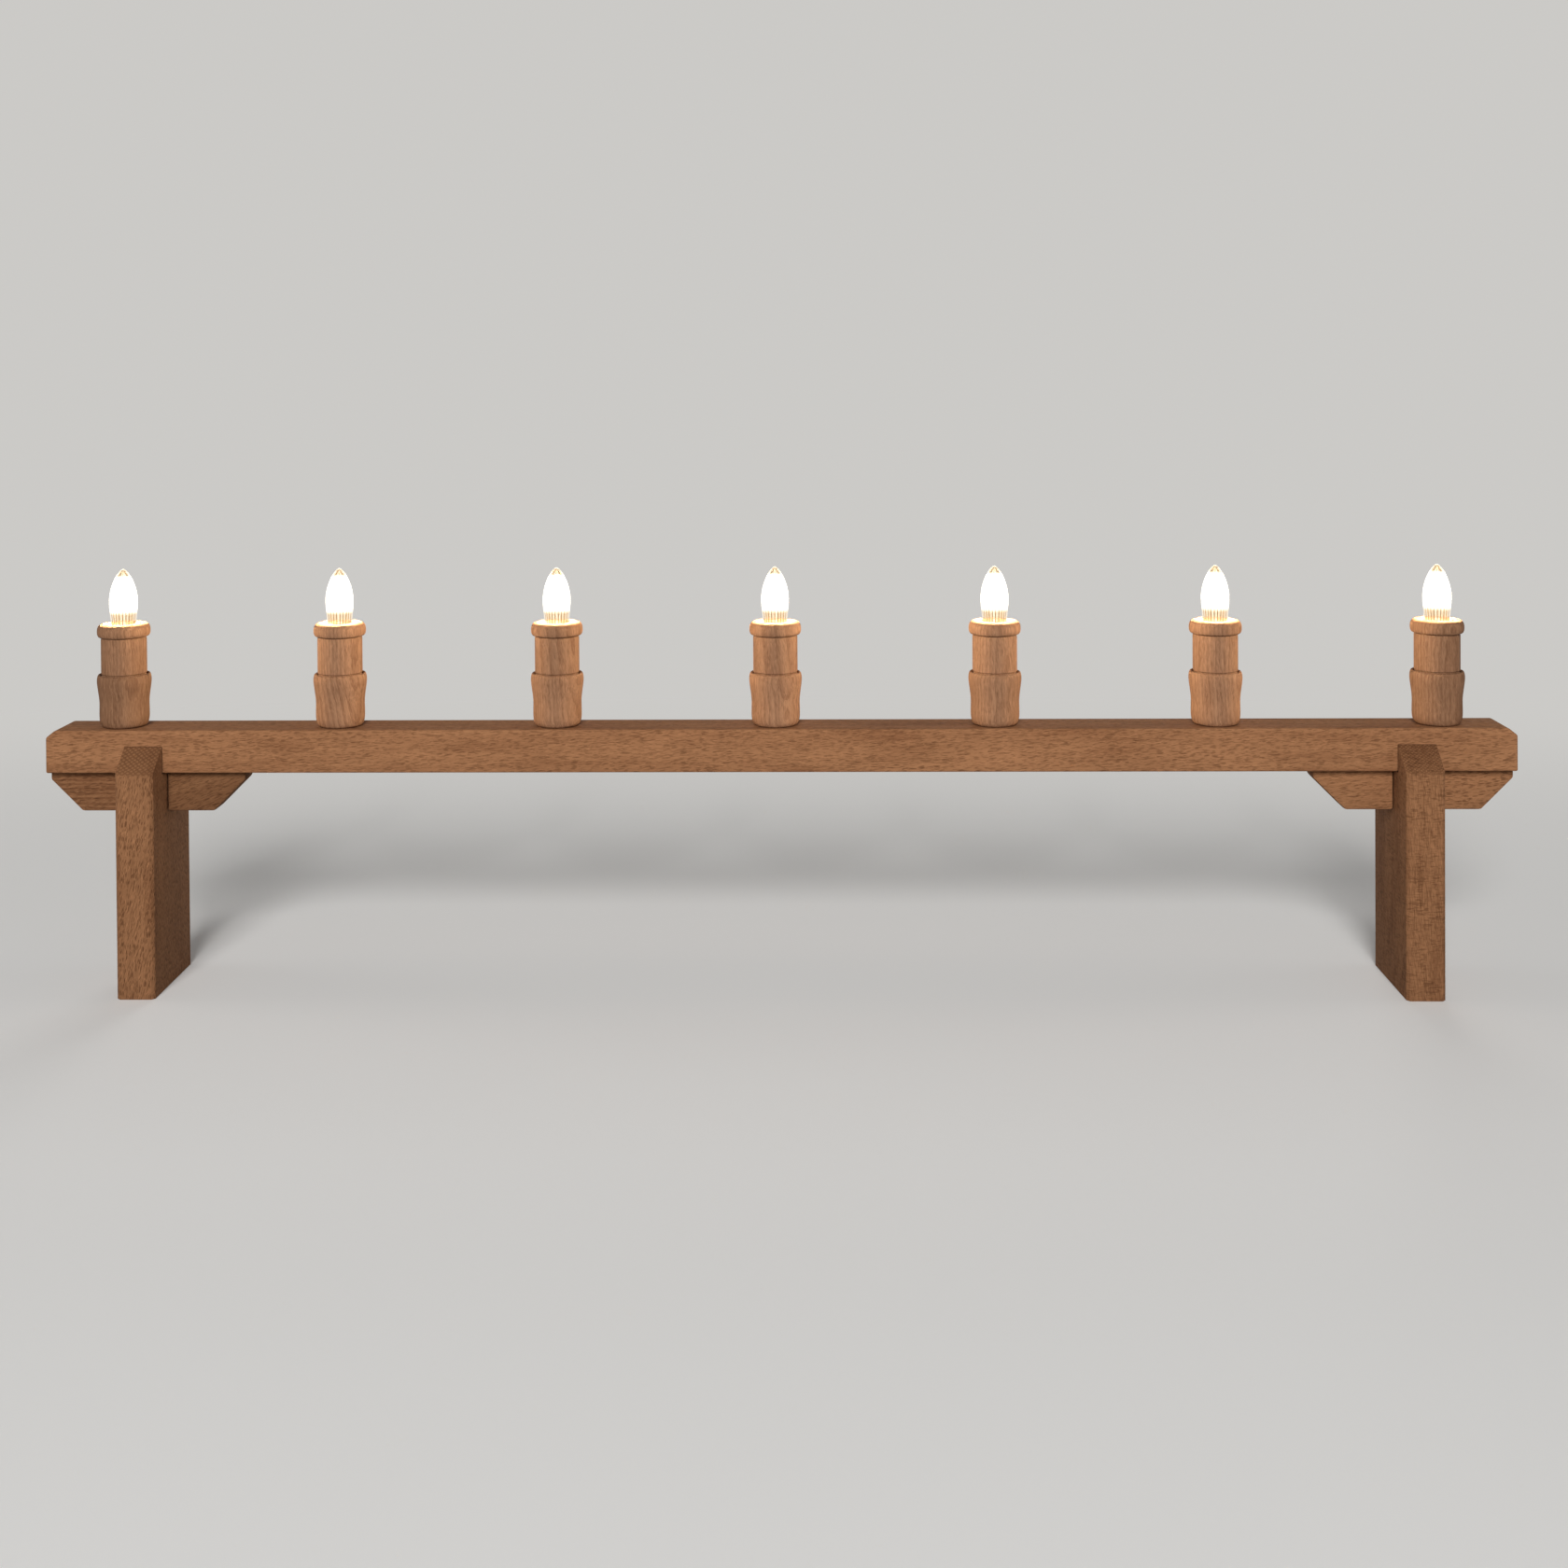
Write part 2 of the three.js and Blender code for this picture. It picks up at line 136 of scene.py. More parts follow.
# Finishes of the lamps: speckle, and the heights at which the glass and the filament glow
SPECKLE_DEPTH = 0.04 * MM
NEAR_BLACK = (0.02, 0.02, 0.02, 1)
NECK_FADE = (152.5 * MM, 155.5 * MM)
POINT_FADE = (167.2 * MM, 169.0 * MM)
WIRE_FADE = (157.0 * MM, 157.5 * MM)

# Pale surroundings, and the floor as the camera sees it, as linear light
PALE = (0.6, 0.59, 0.57, 1)
SEEN_FLOOR = (0.88, 0.87, 0.85, 1)

# The floor runs into its surroundings between two distances in metres, in an oval round the object
HAZE_SHIFT = (0, 0.4, 0)
HAZE_SHAPE = (0.6, 1, 1)
HAZE_FADE = (0.45, 1.05)

# Light: the strength of the even light, where the soft lights aim, and the filaments' light in watts
FILL = 0.09
AIM = (0, 0, 0.1)
LAMP_COLOUR = (1.0, 0.84, 0.6)
LAMP_ENERGY = 0.36
LAMP_SIZE = 2.2 * MM

# Camera, in metres and radians
CAMERA_PLACE = (0.02075, -0.81259, 0.26482)
CAMERA_YAW = -0.02396
CAMERA_TILT = -0.01521
CAMERA_ROLL = -0.00666
CAMERA_LENS = 45.49
CAMERA_SENSOR = 36
CAMERA_SHIFT = (0.00475, -0.26437)


# Handling of pieces

def alone(piece):
    bpy.ops.object.select_all(action="DESELECT")
    piece.hide_viewport = False
    piece.select_set(True)
    bpy.context.view_layer.objects.active = piece


def started(name):
    """The primitive just added, named, with its place moved into its mesh."""
    piece = bpy.context.object
    piece.name = name
    piece.data.name = name
    alone(piece)
    bpy.ops.object.transform_apply(location=True, rotation=True, scale=True)
    return piece


def box_piece(name, low, high):
    low, high = Vector(low), Vector(high)
    bpy.ops.object.select_all(action="DESELECT")
    bpy.ops.mesh.primitive_cube_add(size=1, location=(low + high) / 2, scale=high - low)
    return started(name)


def edit(piece):
    alone(piece)
    bpy.ops.object.mode_set(mode="EDIT")


def done():
    bpy.ops.object.mode_set(mode="OBJECT")


def pick(piece, kind, test):
    """In edit mode, selects only the corners, edges or faces that pass the test."""
    modes = {"verts": "VERT", "edges": "EDGE", "faces": "FACE"}
    bpy.ops.mesh.select_mode(type=modes[kind])
    bpy.ops.mesh.select_all(action="DESELECT")
    mesh = bmesh.from_edit_mesh(piece.data)
    for item in getattr(mesh, kind):
        if test(item):
            item.select_set(True)
    bmesh.update_edit_mesh(piece.data)


def middle(edge):
    return (edge.verts[0].co + edge.verts[1].co) / 2


def runs_along(edge, axis):
    """Whether an edge lies along the axis, 0 for X to 2 for Z."""
    return abs((edge.verts[1].co - edge.verts[0].co).normalized()[axis]) > 0.99


def same_place(here, there):
    return (here - there).length < NEAR


def slice_off(piece, point, normal):
    """Cuts away what lies beyond a plane and closes the cut."""
    edit(piece)
    bpy.ops.mesh.select_all(action="SELECT")
    bpy.ops.mesh.bisect(plane_co=point, plane_no=normal, use_fill=True, clear_outer=True, threshold=TINY)
    done()


def cut_with(piece, cutters):
    for cutter in cutters:
        alone(piece)
        carve = piece.modifiers.new("carve", "BOOLEAN")
        carve.operation = "DIFFERENCE"
        carve.solver = "EXACT"
        carve.object = cutter
        bpy.ops.object.modifier_apply(modifier=carve.name)
        bpy.data.objects.remove(cutter)


def ease_edges(piece, width, segments=2, angle=40):
    alone(piece)
    ease = piece.modifiers.new("ease", "BEVEL")
    ease.width = width
    ease.segments = segments
    ease.limit_method = "ANGLE"
    ease.angle_limit = math.radians(angle)
    ease.use_clamp_overlap = True
    bpy.ops.object.modifier_apply(modifier=ease.name)


def smooth(piece, angle=35):
    alone(piece)
    bpy.ops.object.shade_smooth_by_angle(angle=math.radians(angle))


def copied(piece, name, shift, mirrored_about=None):
    """A copy with its own mesh, moved along X, or mirrored in X about a place."""
    alone(piece)
    bpy.ops.object.duplicate(linked=False)
    twin = bpy.context.object
    twin.name = name
    twin.data.name = name
    edit(twin)
    bpy.ops.mesh.select_all(action="SELECT")
    if mirrored_about is None:
        bpy.ops.transform.translate(value=(shift, 0, 0))
    else:
        bpy.ops.transform.resize(value=(-1, 1, 1), center_override=(mirrored_about, 0, 0))
        bpy.ops.mesh.flip_normals()
    done()
    return twin


def row_of(first):
    """The same piece for all seven lamps, the first one included."""
    kind = first.name[:-1]
    return [first] + [copied(first, f"{kind}{n}", lamp_x[n] - lamp_x[1]) for n in LAMPS if n > 1]


def turned(name, rings, x=0.0, sides=TURNED_SIDES):
    """A turned form: rings of (radius, height), drawn out one from the next."""
    radius, height = rings[0]
    bpy.ops.object.select_all(action="DESELECT")
    bpy.ops.mesh.primitive_circle_add(vertices=sides, radius=radius, location=(x, 0, height))
    piece = started(name)
    edit(piece)
    bpy.ops.mesh.select_all(action="SELECT")
    for next_radius, next_height in rings[1:]:
        bpy.ops.mesh.extrude_region_move(
            TRANSFORM_OT_translate={"value": (0, 0, next_height - height)})
        scale = next_radius / radius
        bpy.ops.transform.resize(value=(scale, scale, 1), center_override=(x, 0, next_height))
        radius, height = next_radius, next_height
    bpy.ops.mesh.select_all(action="SELECT")
    bpy.ops.mesh.remove_doubles(threshold=TINY)
    bpy.ops.mesh.normals_make_consistent(inside=False)
    done()
    return piece


def drawn_line(name, points):
    """A line of edges through points, left in edit mode."""
    bpy.ops.object.select_all(action="DESELECT")
    bpy.ops.mesh.primitive_plane_add(size=1)
    piece = started(name)
    edit(piece)
    bpy.ops.mesh.select_mode(type="VERT")
    bpy.ops.mesh.select_all(action="SELECT")
    bpy.ops.mesh.merge(type="CENTER")
    bpy.ops.transform.translate(value=Vector(points[0]))
    for here, there in zip(points, points[1:]):
        bpy.ops.mesh.extrude_region_move(
            TRANSFORM_OT_translate={"value": Vector(there) - Vector(here)})
    return piece


def bent_wire(name, points, radius, bend=0.0, roundness=4):
    """A round wire through a row of points, with rounded bends."""
    drawn_line(name, points)
    if bend:
        bpy.ops.mesh.select_all(action="SELECT")
        bpy.ops.mesh.bevel(offset=bend, segments=5, affect="VERTICES")
    done()
    bpy.ops.object.convert(target="CURVE")
    piece = bpy.context.object
    piece.data.bevel_depth = radius
    piece.data.bevel_resolution = roundness
    piece.data.use_fill_caps = True
    bpy.ops.object.convert(target="MESH")
    return bpy.context.object


def bow(start, pull, end, steps):
    """Points of a quadratic curve after its start, as (radius, height)."""
    points = []
    for step in range(1, steps + 1):
        t = step / steps
        a, b, c = (1 - t) ** 2, 2 * t * (1 - t), t ** 2
        points.append(tuple(a * s + b * p + c * e for s, p, e in zip(start, pull, end)))
    return points


def bow4(start, pull, push, end, steps):
    """Points of a cubic curve after its start, as (radius, height)."""
    points = []
    for step in range(1, steps + 1):
        t = step / steps
        weights = ((1 - t) ** 3, 3 * t * (1 - t) ** 2, 3 * t ** 2 * (1 - t), t ** 3)
        corners = (start, pull, push, end)
        points.append(tuple(
            sum(w * corner[axis] for w, corner in zip(weights, corners)) for axis in (0, 1)))
    return points


# Finishes

def tone(code, shade=1.0):
    """A colour from its six-digit code, as linear light, made darker or lighter by a factor."""
    parts = [int(code[i:i + 2], 16) / 255 for i in (0, 2, 4)]
    linear = [p / 12.92 if p <= 0.04045 else ((p + 0.055) / 1.055) ** 2.4 for p in parts]
    return tuple(min(1.0, shade * p) for p in linear) + (1,)


class Finish:
    """A material being put together, with short calls for the nodes it uses."""

    def __init__(self, name):
        self.material = bpy.data.materials.new(name)
        self.material.use_nodes = True
        self.tree = self.material.node_tree
        self.tree.nodes.clear()
        self.shader = self.add("ShaderNodeBsdfPrincipled")
        self.output = self.add("ShaderNodeOutputMaterial")
        self.join(self.shader.outputs["BSDF"], self.output.inputs["Surface"])
        self.where = self.add("ShaderNodeTexCoord")

    def add(self, kind, **settings):
        node = self.tree.nodes.new(kind)
        for key, value in settings.items():
            setattr(node, key, value)
        return node

    def join(self, output, socket):
        self.tree.links.new(output, socket)

    def feed(self, socket, value):
        if isinstance(value, bpy.types.NodeSocket):
            self.join(value, socket)
        else:
            socket.default_value = value

    def placed(self, vector, move=(0, 0, 0), turn=(0, 0, 0), scale=(1, 1, 1)):
        node = self.add("ShaderNodeMapping")
        self.join(vector, node.inputs["Vector"])
        node.inputs["Location"].default_value = move
        node.inputs["Rotation"].default_value = turn
        node.inputs["Scale"].default_value = scale
        return node.outputs["Vector"]

    def noise(self, vector, scale, detail=2.0, rough=0.5, output="Fac"):
        node = self.add("ShaderNodeTexNoise")
        self.join(vector, node.inputs["Vector"])
        node.inputs["Scale"].default_value = scale
        node.inputs["Detail"].default_value = detail
        node.inputs["Roughness"].default_value = rough
        return node.outputs[output]

    def math(self, operation, a, b=0.0):
        node = self.add("ShaderNodeMath", operation=operation)
        self.feed(node.inputs[0], a)
        self.feed(node.inputs[1], b)
        return node.outputs[0]

    def shifted(self, vector, colour, reach):
        """A place moved by a noise's colour, to both sides, as far as reach."""
        node = self.add("ShaderNodeVectorMath", operation="MULTIPLY_ADD")
        self.join(colour, node.inputs[0])
        node.inputs[1].default_value = reach
        halfway = self.placed(vector, move=tuple(-r / 2 for r in reach))
        self.join(halfway, node.inputs[2])
        return node.outputs["Vector"]

    def spindles(self, vector, size, rarity, thickness, crispness=0.1):
        """Spindle-shaped marks of uneven thickness along X, one in a cell of (length, width) in mm."""
        length, width = size
        cells = self.add("ShaderNodeTexVoronoi", feature="F1", distance="EUCLIDEAN")
        scaled = self.placed(vector, scale=(1 / (length * MM), 1 / (width * MM), 1 / (width * MM)))
        self.join(scaled, cells.inputs["Vector"])
        cells.inputs["Scale"].default_value = 1.0
        lot = self.add("ShaderNodeSeparateColor")
        self.join(cells.outputs["Color"], lot.inputs["Color"])
        reach = self.span(lot.outputs["Red"], rarity, 1.0, 0.0, thickness, soft=False)
        return self.span(self.math("SUBTRACT", reach, cells.outputs["Distance"]), -0.04, crispness)

    def bands(self, vector, gap, wander):
        """Soft parallel bands across Z, a gap apart."""
        wave = self.add("ShaderNodeTexWave", wave_type="BANDS", bands_direction="Z", wave_profile="SIN")
        self.join(vector, wave.inputs["Vector"])
        wave.inputs["Scale"].default_value = WAVE_LENGTH / gap
        wave.inputs["Distortion"].default_value = wander
        wave.inputs["Detail"].default_value = 1.0
        wave.inputs["Detail Scale"].default_value = 1.5
        return wave.outputs["Fac"]

    def span(self, value, low, high, to_low=0.0, to_high=1.0, soft=True):
        node = self.add("ShaderNodeMapRange")
        node.interpolation_type = "SMOOTHSTEP" if soft else "LINEAR"
        self.feed(node.inputs["Value"], value)
        node.inputs["From Min"].default_value = low
        node.inputs["From Max"].default_value = high
        node.inputs["To Min"].default_value = to_low
        node.inputs["To Max"].default_value = to_high
        return node.outputs["Result"]

    def blend(self, share, a, b):
        node = self.add("ShaderNodeMix", data_type="RGBA")
        self.feed(node.inputs[0], share)
        self.feed(node.inputs[6], a)
        self.feed(node.inputs[7], b)
        return node.outputs[2]

    def ramp(self, value, *stops):
        node = self.add("ShaderNodeValToRGB")
        self.feed(node.inputs["Fac"], value)
        elements = node.color_ramp.elements
        elements[0].position, elements[0].color = stops[0]
        elements[1].position, elements[1].color = stops[-1]
        for position, colour in stops[1:-1]:
            elements.new(position).color = colour
        return node.outputs["Color"]

    def bump(self, height, strength, distance):
        node = self.add("ShaderNodeBump")
        self.feed(node.inputs["Height"], height)
        node.inputs["Strength"].default_value = strength
        node.inputs["Distance"].default_value = distance
        return node.outputs["Normal"]


def beech(name, grain, centre, pith=(0.05, 0.03), lean=(0, 0), shade=1.0, pale="a97854", deep="83563a",
          rings=0.2, ring_gap=2.2, clouds=0.7, flecks=0.4, fleck_size=(3.2, 0.42), slant=0.08, painted_glints=0.3,
          streaks=0.34, bars=0.0, fibres=0.15, hatching=(0.85, 1.2), seed=0.0):
    """Oiled beech. Growth rings lie round a pith beside the piece, along its grain. Wavy strokes and short
    dark flecks lie along the grain, each fleck with a painted highlight beside it, and bars cross it on a
    quartered face. The gaps of the rings and of the hatching, and the size of the flecks, are in mm."""
    f = Finish(name)
    dash = tone(WOOD_DASH, shade)
    turn = (0, (math.pi / 2 if grain == "Z" else 0) + lean[0], lean[1])
    centred = f.placed(f.where.outputs["Object"], move=tuple(-c for c in centre))
    along = f.placed(f.placed(centred, turn=turn), move=(seed, pith[0], pith[1]))

    # The grain wanders a little on its way
    slow = f.noise(f.placed(along, scale=SLOW_BENDS), 1.0, 2.0, 0.5, "Color")
    quick = f.noise(f.placed(along, scale=QUICK_BENDS), 1.0, 1.0, 0.5, "Color")
    bent = f.shifted(along, slow, (0.0, SLOW_REACH, SLOW_REACH))
    winding = f.shifted(bent, quick, (0.0, QUICK_REACH, QUICK_REACH))
    slanted = f.placed(winding, turn=(0, slant, 0))

    # Broad soft clouds and streaks, with the growth rings over them
    wave = f.add("ShaderNodeTexWave", wave_type="RINGS", rings_direction="X", wave_profile="SAW")
    f.join(winding, wave.inputs["Vector"])
    wave.inputs["Scale"].default_value = WAVE_LENGTH / (ring_gap * MM)
    wave.inputs["Distortion"].default_value = 0.0
    ring = f.span(wave.outputs["Fac"], 0.3, 1.0)
    streak = f.noise(f.placed(winding, scale=STREAKS), 1.0, 3.0, 0.6)
    cloud = f.noise(f.placed(winding, scale=CLOUDS), 1.0, 2.0, 0.5)
    tones = f.math("ADD", f.math("MULTIPLY", streak, 0.45), f.math("MULTIPLY", cloud, 0.55))
    reach = 0.24 / clouds
    colour = f.ramp(tones, (0.5 - reach, tone(deep, shade)), (0.5, tone(pale, shade)),
                    (0.5 + reach, tone(pale, 1.25 * shade)))
    colour = f.blend(f.math("MULTIPLY", ring, rings), colour, tone(deep, shade))

    # End grain shows darker, with a close figure that crosses itself, and has no flecks
    facing = f.add("ShaderNodeSeparateXYZ")
    f.join(f.placed(f.where.outputs["Normal"], turn=turn), facing.inputs["Vector"])
    side = f.span(f.math("ABSOLUTE", facing.outputs["X"]), 0.5, 0.8, 1.0, 0.0)
    gap, wander = hatching
    hatch = f.math("MULTIPLY", *(f.bands(f.placed(along, turn=(angle, 0, 0)), gap * MM, wander)
                                 for angle in (HATCH_ANGLE, -HATCH_ANGLE)))
    figure = f.span(hatch, 0.05, 0.5, 0.5, 0.12)

    # Flecks and the painted highlights beside them, fine fibres, wavy strokes, and bars in patches
    fleck = f.math("MULTIPLY", f.spindles(slanted, fleck_size, 0.0, 0.54, 0.06), side)
    painted_glint = f.spindles(f.placed(slanted, move=PAINTED_GLINT_STEP), fleck_size, 0.2, 0.5)
    fibre = f.noise(f.placed(slanted, scale=FIBRES), 1.0, 2.0, 0.65)
    stroke = f.noise(f.placed(slanted, scale=STROKES), 1.0, 1.5, 0.6)
    # Painted highlight: pale wood beside each fleck, as if light caught the edge of its hollow
    painted_highlight = f.math("MULTIPLY", f.math("MULTIPLY", painted_glint, side), painted_glints)
    colour = f.blend(painted_highlight, colour, tone(pale, 1.5 * shade))
    colour = f.blend(f.span(fibre, 0.4, 0.75, 0.0, fibres), colour, dash)
    colour = f.blend(f.math("MULTIPLY", f.span(stroke, 0.5, 0.66, 0.0, streaks), side), colour, dash)
    colour = f.blend(f.math("MULTIPLY", fleck, flecks), colour, dash)
    if bars:
        across = f.noise(f.placed(winding, scale=BARS), 1.0, 1.5, 0.6)
        patch = f.noise(f.placed(winding, scale=BAR_PATCHES), 1.0, 1.0, 0.5)
        thick = f.math("MULTIPLY", f.span(across, 0.46, 0.62), f.span(patch, 0.42, 0.62, 0.4, 1.0))
        colour = f.blend(f.math("MULTIPLY", thick, bars), colour, dash)
    shadow = f.math("MULTIPLY", f.math("SUBTRACT", 1.0, side), figure)
    f.join(f.blend(shadow, colour, dash), f.shader.inputs["Base Color"])

    f.join(f.span(fibre, 0.25, 0.75, WOOD_ROUGHNESS - 0.05, WOOD_ROUGHNESS + 0.12),
           f.shader.inputs["Roughness"])
    f.shader.inputs["Specular IOR Level"].default_value = WOOD_GLOSS
    hollow = f.math("SUBTRACT", f.math("MULTIPLY", fibre, 0.5), f.math("MULTIPLY", fleck, 0.7))
    f.join(f.bump(hollow, 0.5, PORE_DEPTH), f.shader.inputs["Normal"])
    return f.material


def finished(piece, material, body, slot, *stands_for):
    piece.data.materials.clear()
    piece.data.materials.append(material)
    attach(piece, body)
    if stands_for:
        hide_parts(*stands_for)
    return piece


def node_middle(name):
    low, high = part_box(name)
    return (low + high) / 2


# Beam

beam_low, beam_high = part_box("beam")
lamp_x = {n: node_middle(f"candle_{n}").x for n in LAMPS}


def make_beam():
    piece = box_piece("beech_beam", beam_low, beam_high)
    for side in (-1, 1):
        end = beam_high.x * side
        top = beam_high.z
        slice_off(piece, (end - side * BEAM_CHAMFER_RUN, 0, top),
                  (side * BEAM_CHAMFER_DROP, 0, BEAM_CHAMFER_RUN))
    ease_edges(piece, BEAM_EASE, 3, 20)
    low = beam_low.z
    inlet_x = lamp_x[1] - INLET_REACH
    groove_end = lamp_x[7] + GROOVE_END_ROOM
    cover_low, cover_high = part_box("groove_cover")
    cutters = [
        box_piece("groove", (inlet_x - INLET_RADIUS, -GROOVE_WIDTH / 2, low - PAST),
                  (groove_end, GROOVE_WIDTH / 2, low + GROOVE_DEPTH)),
        box_piece("rebate", (cover_low.x - CLEARANCE, -REBATE_SIDE, low - PAST),
                  (cover_high.x + CLEARANCE, REBATE_SIDE, low + REBATE_DEPTH)),
    ]
    for x in lamp_x.values():
        for radius, bottom, top in (
            (BORE_RADIUS, beam_high.z - HOLDER_SEAT, beam_high.z + PAST),
            (LEAD_HOLE_RADIUS, low + GROOVE_DEPTH - PAST, beam_high.z - HOLDER_SEAT + PAST),
        ):
            bpy.ops.object.select_all(action="DESELECT")
            bpy.ops.mesh.primitive_cylinder_add(
                vertices=BORE_SIDES, radius=radius, depth=top - bottom, location=(x, 0, (top + bottom) / 2))
            cutters.append(started("bore"))
    depth = beam_high.y + GROOVE_WIDTH / 2 + PAST
    bpy.ops.object.select_all(action="DESELECT")
    bpy.ops.mesh.primitive_cylinder_add(
        vertices=BORE_SIDES, radius=INLET_RADIUS, depth=depth, rotation=(math.pi / 2, 0, 0),
        location=(inlet_x, beam_high.y + PAST - depth / 2, LANE_HEIGHT))
    cutters.append(started("inlet"))
    cut_with(piece, cutters)
    smooth(piece, 30)
    return piece


beam_wood = beech("beech_beam", "X", centre=node_middle("beam"), pith=(0.16, 0.05), lean=(0.012, 0.006),
                  shade=0.8, seed=0.3, ring_gap=5.0, slant=0.06, flecks=0.34, streaks=0.42)
finished(make_beam(), beam_wood, "root", "beech", "beam")


# Legs: a plank on edge, bevelled at the top of both edges and notched for the beam

def make_leg():
    low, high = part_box("leg_left")
    piece = box_piece("beech_leg_left", low, high)
    horn = (high.y - low.y) / 2 - (beam_high.y + NOTCH_GAP)
    for side in (-1, 1):
        slice_off(piece, (0, side * high.y, high.z - HORN_FACE_DROP), (0, side * HORN_FACE_DROP, horn))
    edit(piece)
    pick(piece, "edges", lambda e: runs_along(e, 2) and abs(abs(middle(e).y) - high.y) < NEAR)
    bpy.ops.mesh.bevel(offset=LEG_ARRIS, offset_type="WIDTH", segments=1, affect="EDGES")
    done()
    notch = box_piece("notch", (low.x - PAST, -beam_high.y - NOTCH_GAP, NOTCH_FLOOR),
                      (high.x + PAST, beam_high.y + NOTCH_GAP, high.z + PAST))
    cut_with(piece, [notch])
    ease_edges(piece, LEG_EASE, 2, 25)
    smooth(piece, 25)
    return piece


leg_left = make_leg()
leg_right = copied(leg_left, "beech_leg_right", node_middle("leg_right").x - node_middle("leg_left").x)
left_wood = beech("beech_leg_left", "Z", centre=node_middle("leg_left"), pith=(0.004, 0.06), shade=0.65,
                  seed=1.1, ring_gap=2.6, rings=0.1, fleck_size=(2.8, 0.45), slant=-0.2, flecks=0.55,
                  painted_glints=0.55, streaks=0.4, hatching=(1.3, 2.2))
right_wood = beech("beech_leg_right", "Z", centre=node_middle("leg_right"), pith=(0.03, 0.045), shade=0.69,
                   seed=2.7, ring_gap=2.6, rings=0.1, flecks=0.15, bars=0.42, fibres=0.5, streaks=0.12,
                   hatching=(1.0, 2.0))
finished(leg_left, left_wood, "root", "beech", "leg_left")
finished(leg_right, right_wood, "root", "beech", "leg_right")


# Bracket blocks: the free lower corner is cut off, and the lower corner at the leg is rounded

def make_bracket():
    low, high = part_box("bracket_left_outer")
    piece = box_piece("beech_bracket_left_outer", low, high)
    slice_off(piece, (low.x + BRACKET_CUT, 0, low.z), (-1, 0, -1))
    edit(piece)
    corner = Vector((high.x, 0, low.z))
    pick(piece, "edges", lambda e: runs_along(e, 1) and same_place(middle(e), corner))
    bpy.ops.mesh.bevel(offset=BRACKET_CORNER, segments=6, affect="EDGES")
    done()
    ease_edges(piece, BRACKET_EASE, 2, 25)
    smooth(piece, 25)
    return piece


bracket_looks = {
    "left_outer": dict(shade=0.62, pith=(0.012, 0.02), rings=0.7, ring_gap=1.7, seed=0.4, lean=(0, 0.05)),
    "left_inner": dict(shade=0.49, pith=(0.05, 0.01), seed=3.4, lean=(0.25, 0.0)),
    "right_inner": dict(shade=0.74, pith=(0.02, 0.06), seed=5.2),
    "right_outer": dict(shade=0.71, pith=(0.05, 0.04), seed=6.6, flecks=0.55),
}
brackets = {"left_outer": make_bracket()}
first_x = node_middle("bracket_left_outer").x
for place in ("left_inner", "right_inner", "right_outer"):
    x = node_middle(f"bracket_{place}").x
    name = f"beech_bracket_{place}"
    if place == "right_inner":
        brackets[place] = copied(brackets["left_outer"], name, x - first_x)
    else:
        brackets[place] = copied(brackets["left_outer"], name, 0, mirrored_about=(x + first_x) / 2)
for place, piece in brackets.items():
    node = f"bracket_{place}"
    wood = beech(f"beech_{node}", "X", centre=node_middle(node), **bracket_looks[place])
    finished(piece, wood, "root", "beech", node)


# Turned cups and candles. Their outlines are in mm, as (radius, height) from the foot

def make_cup(z):
    """A rounded foot, a shallow waist and a full shoulder, counterbored for the candle."""
    foot, waist, shoulder = (9.95, 5.0), (9.88, 10.0), (10.8, 18.3)
    rings = [(7.3, 0.25), (7.55, 0.0), (7.9, 0.0)]
    rings += bow((7.9, 0), (9.95, 0.0), foot, 8)
    rings += bow4(foot, (9.95, 7.2), (9.86, 8.6), waist, 4)
    rings += bow4(waist, (9.93, 12.5), (10.55, 15.4), shoulder, 7)
    rings += bow4(shoulder, (10.92, 19.8), (10.6, 21.7), (10.0, 21.7), 8)
    rings += [(9.85, 21.68), (9.5, 21.35), (9.4, 21.0), (9.4, 15.7), (7.5, 15.7), (7.3, 15.5)]
    rings.append(rings[0])
    return turned("turned_cup_1", [(r * MM, h * MM + z) for r, h in rings], lamp_x[1])


def make_candle(z):
    """A plain cylinder with a shallow groove over the cup's lip and a full bead round the mouth."""
    neck, top = 21.4, 27.0
    rings = [(7.3, 0.2), (7.5, 0.0), (8.8, 0.0), (9.1, 0.3), (9.1, 5.3), (8.8, 5.55), (8.72, 5.9),
             (8.8, 6.2), (9.1, 6.5), (9.1, 15.0), (9.1, neck - 0.9), (8.95, neck - 0.55),
             (8.9, neck - 0.25)]
    rings += bow4((8.9, neck - 0.25), (8.95, neck - 0.05), (9.35, neck), (9.6, neck + 0.03), 3)
    rings += bow4((9.6, neck + 0.03), (10.55, neck + 0.3), (10.6, neck + 1.6), (10.6, neck + 2.4), 6)
    rings += bow4((10.6, neck + 2.4), (10.6, top - 0.9), (9.7, top - 0.02), (7.4, top), 9)
    rings += [(6.75, top), (6.48, top - 0.12), (6.4, top - 0.4), (6.4, top - 2.3), (6.6, top - 2.5),
              (7.3, top - 2.5)]
    rings.append(rings[0])
    return turned("turned_candle_1", [(r * MM, h * MM + z) for r, h in rings], lamp_x[1])


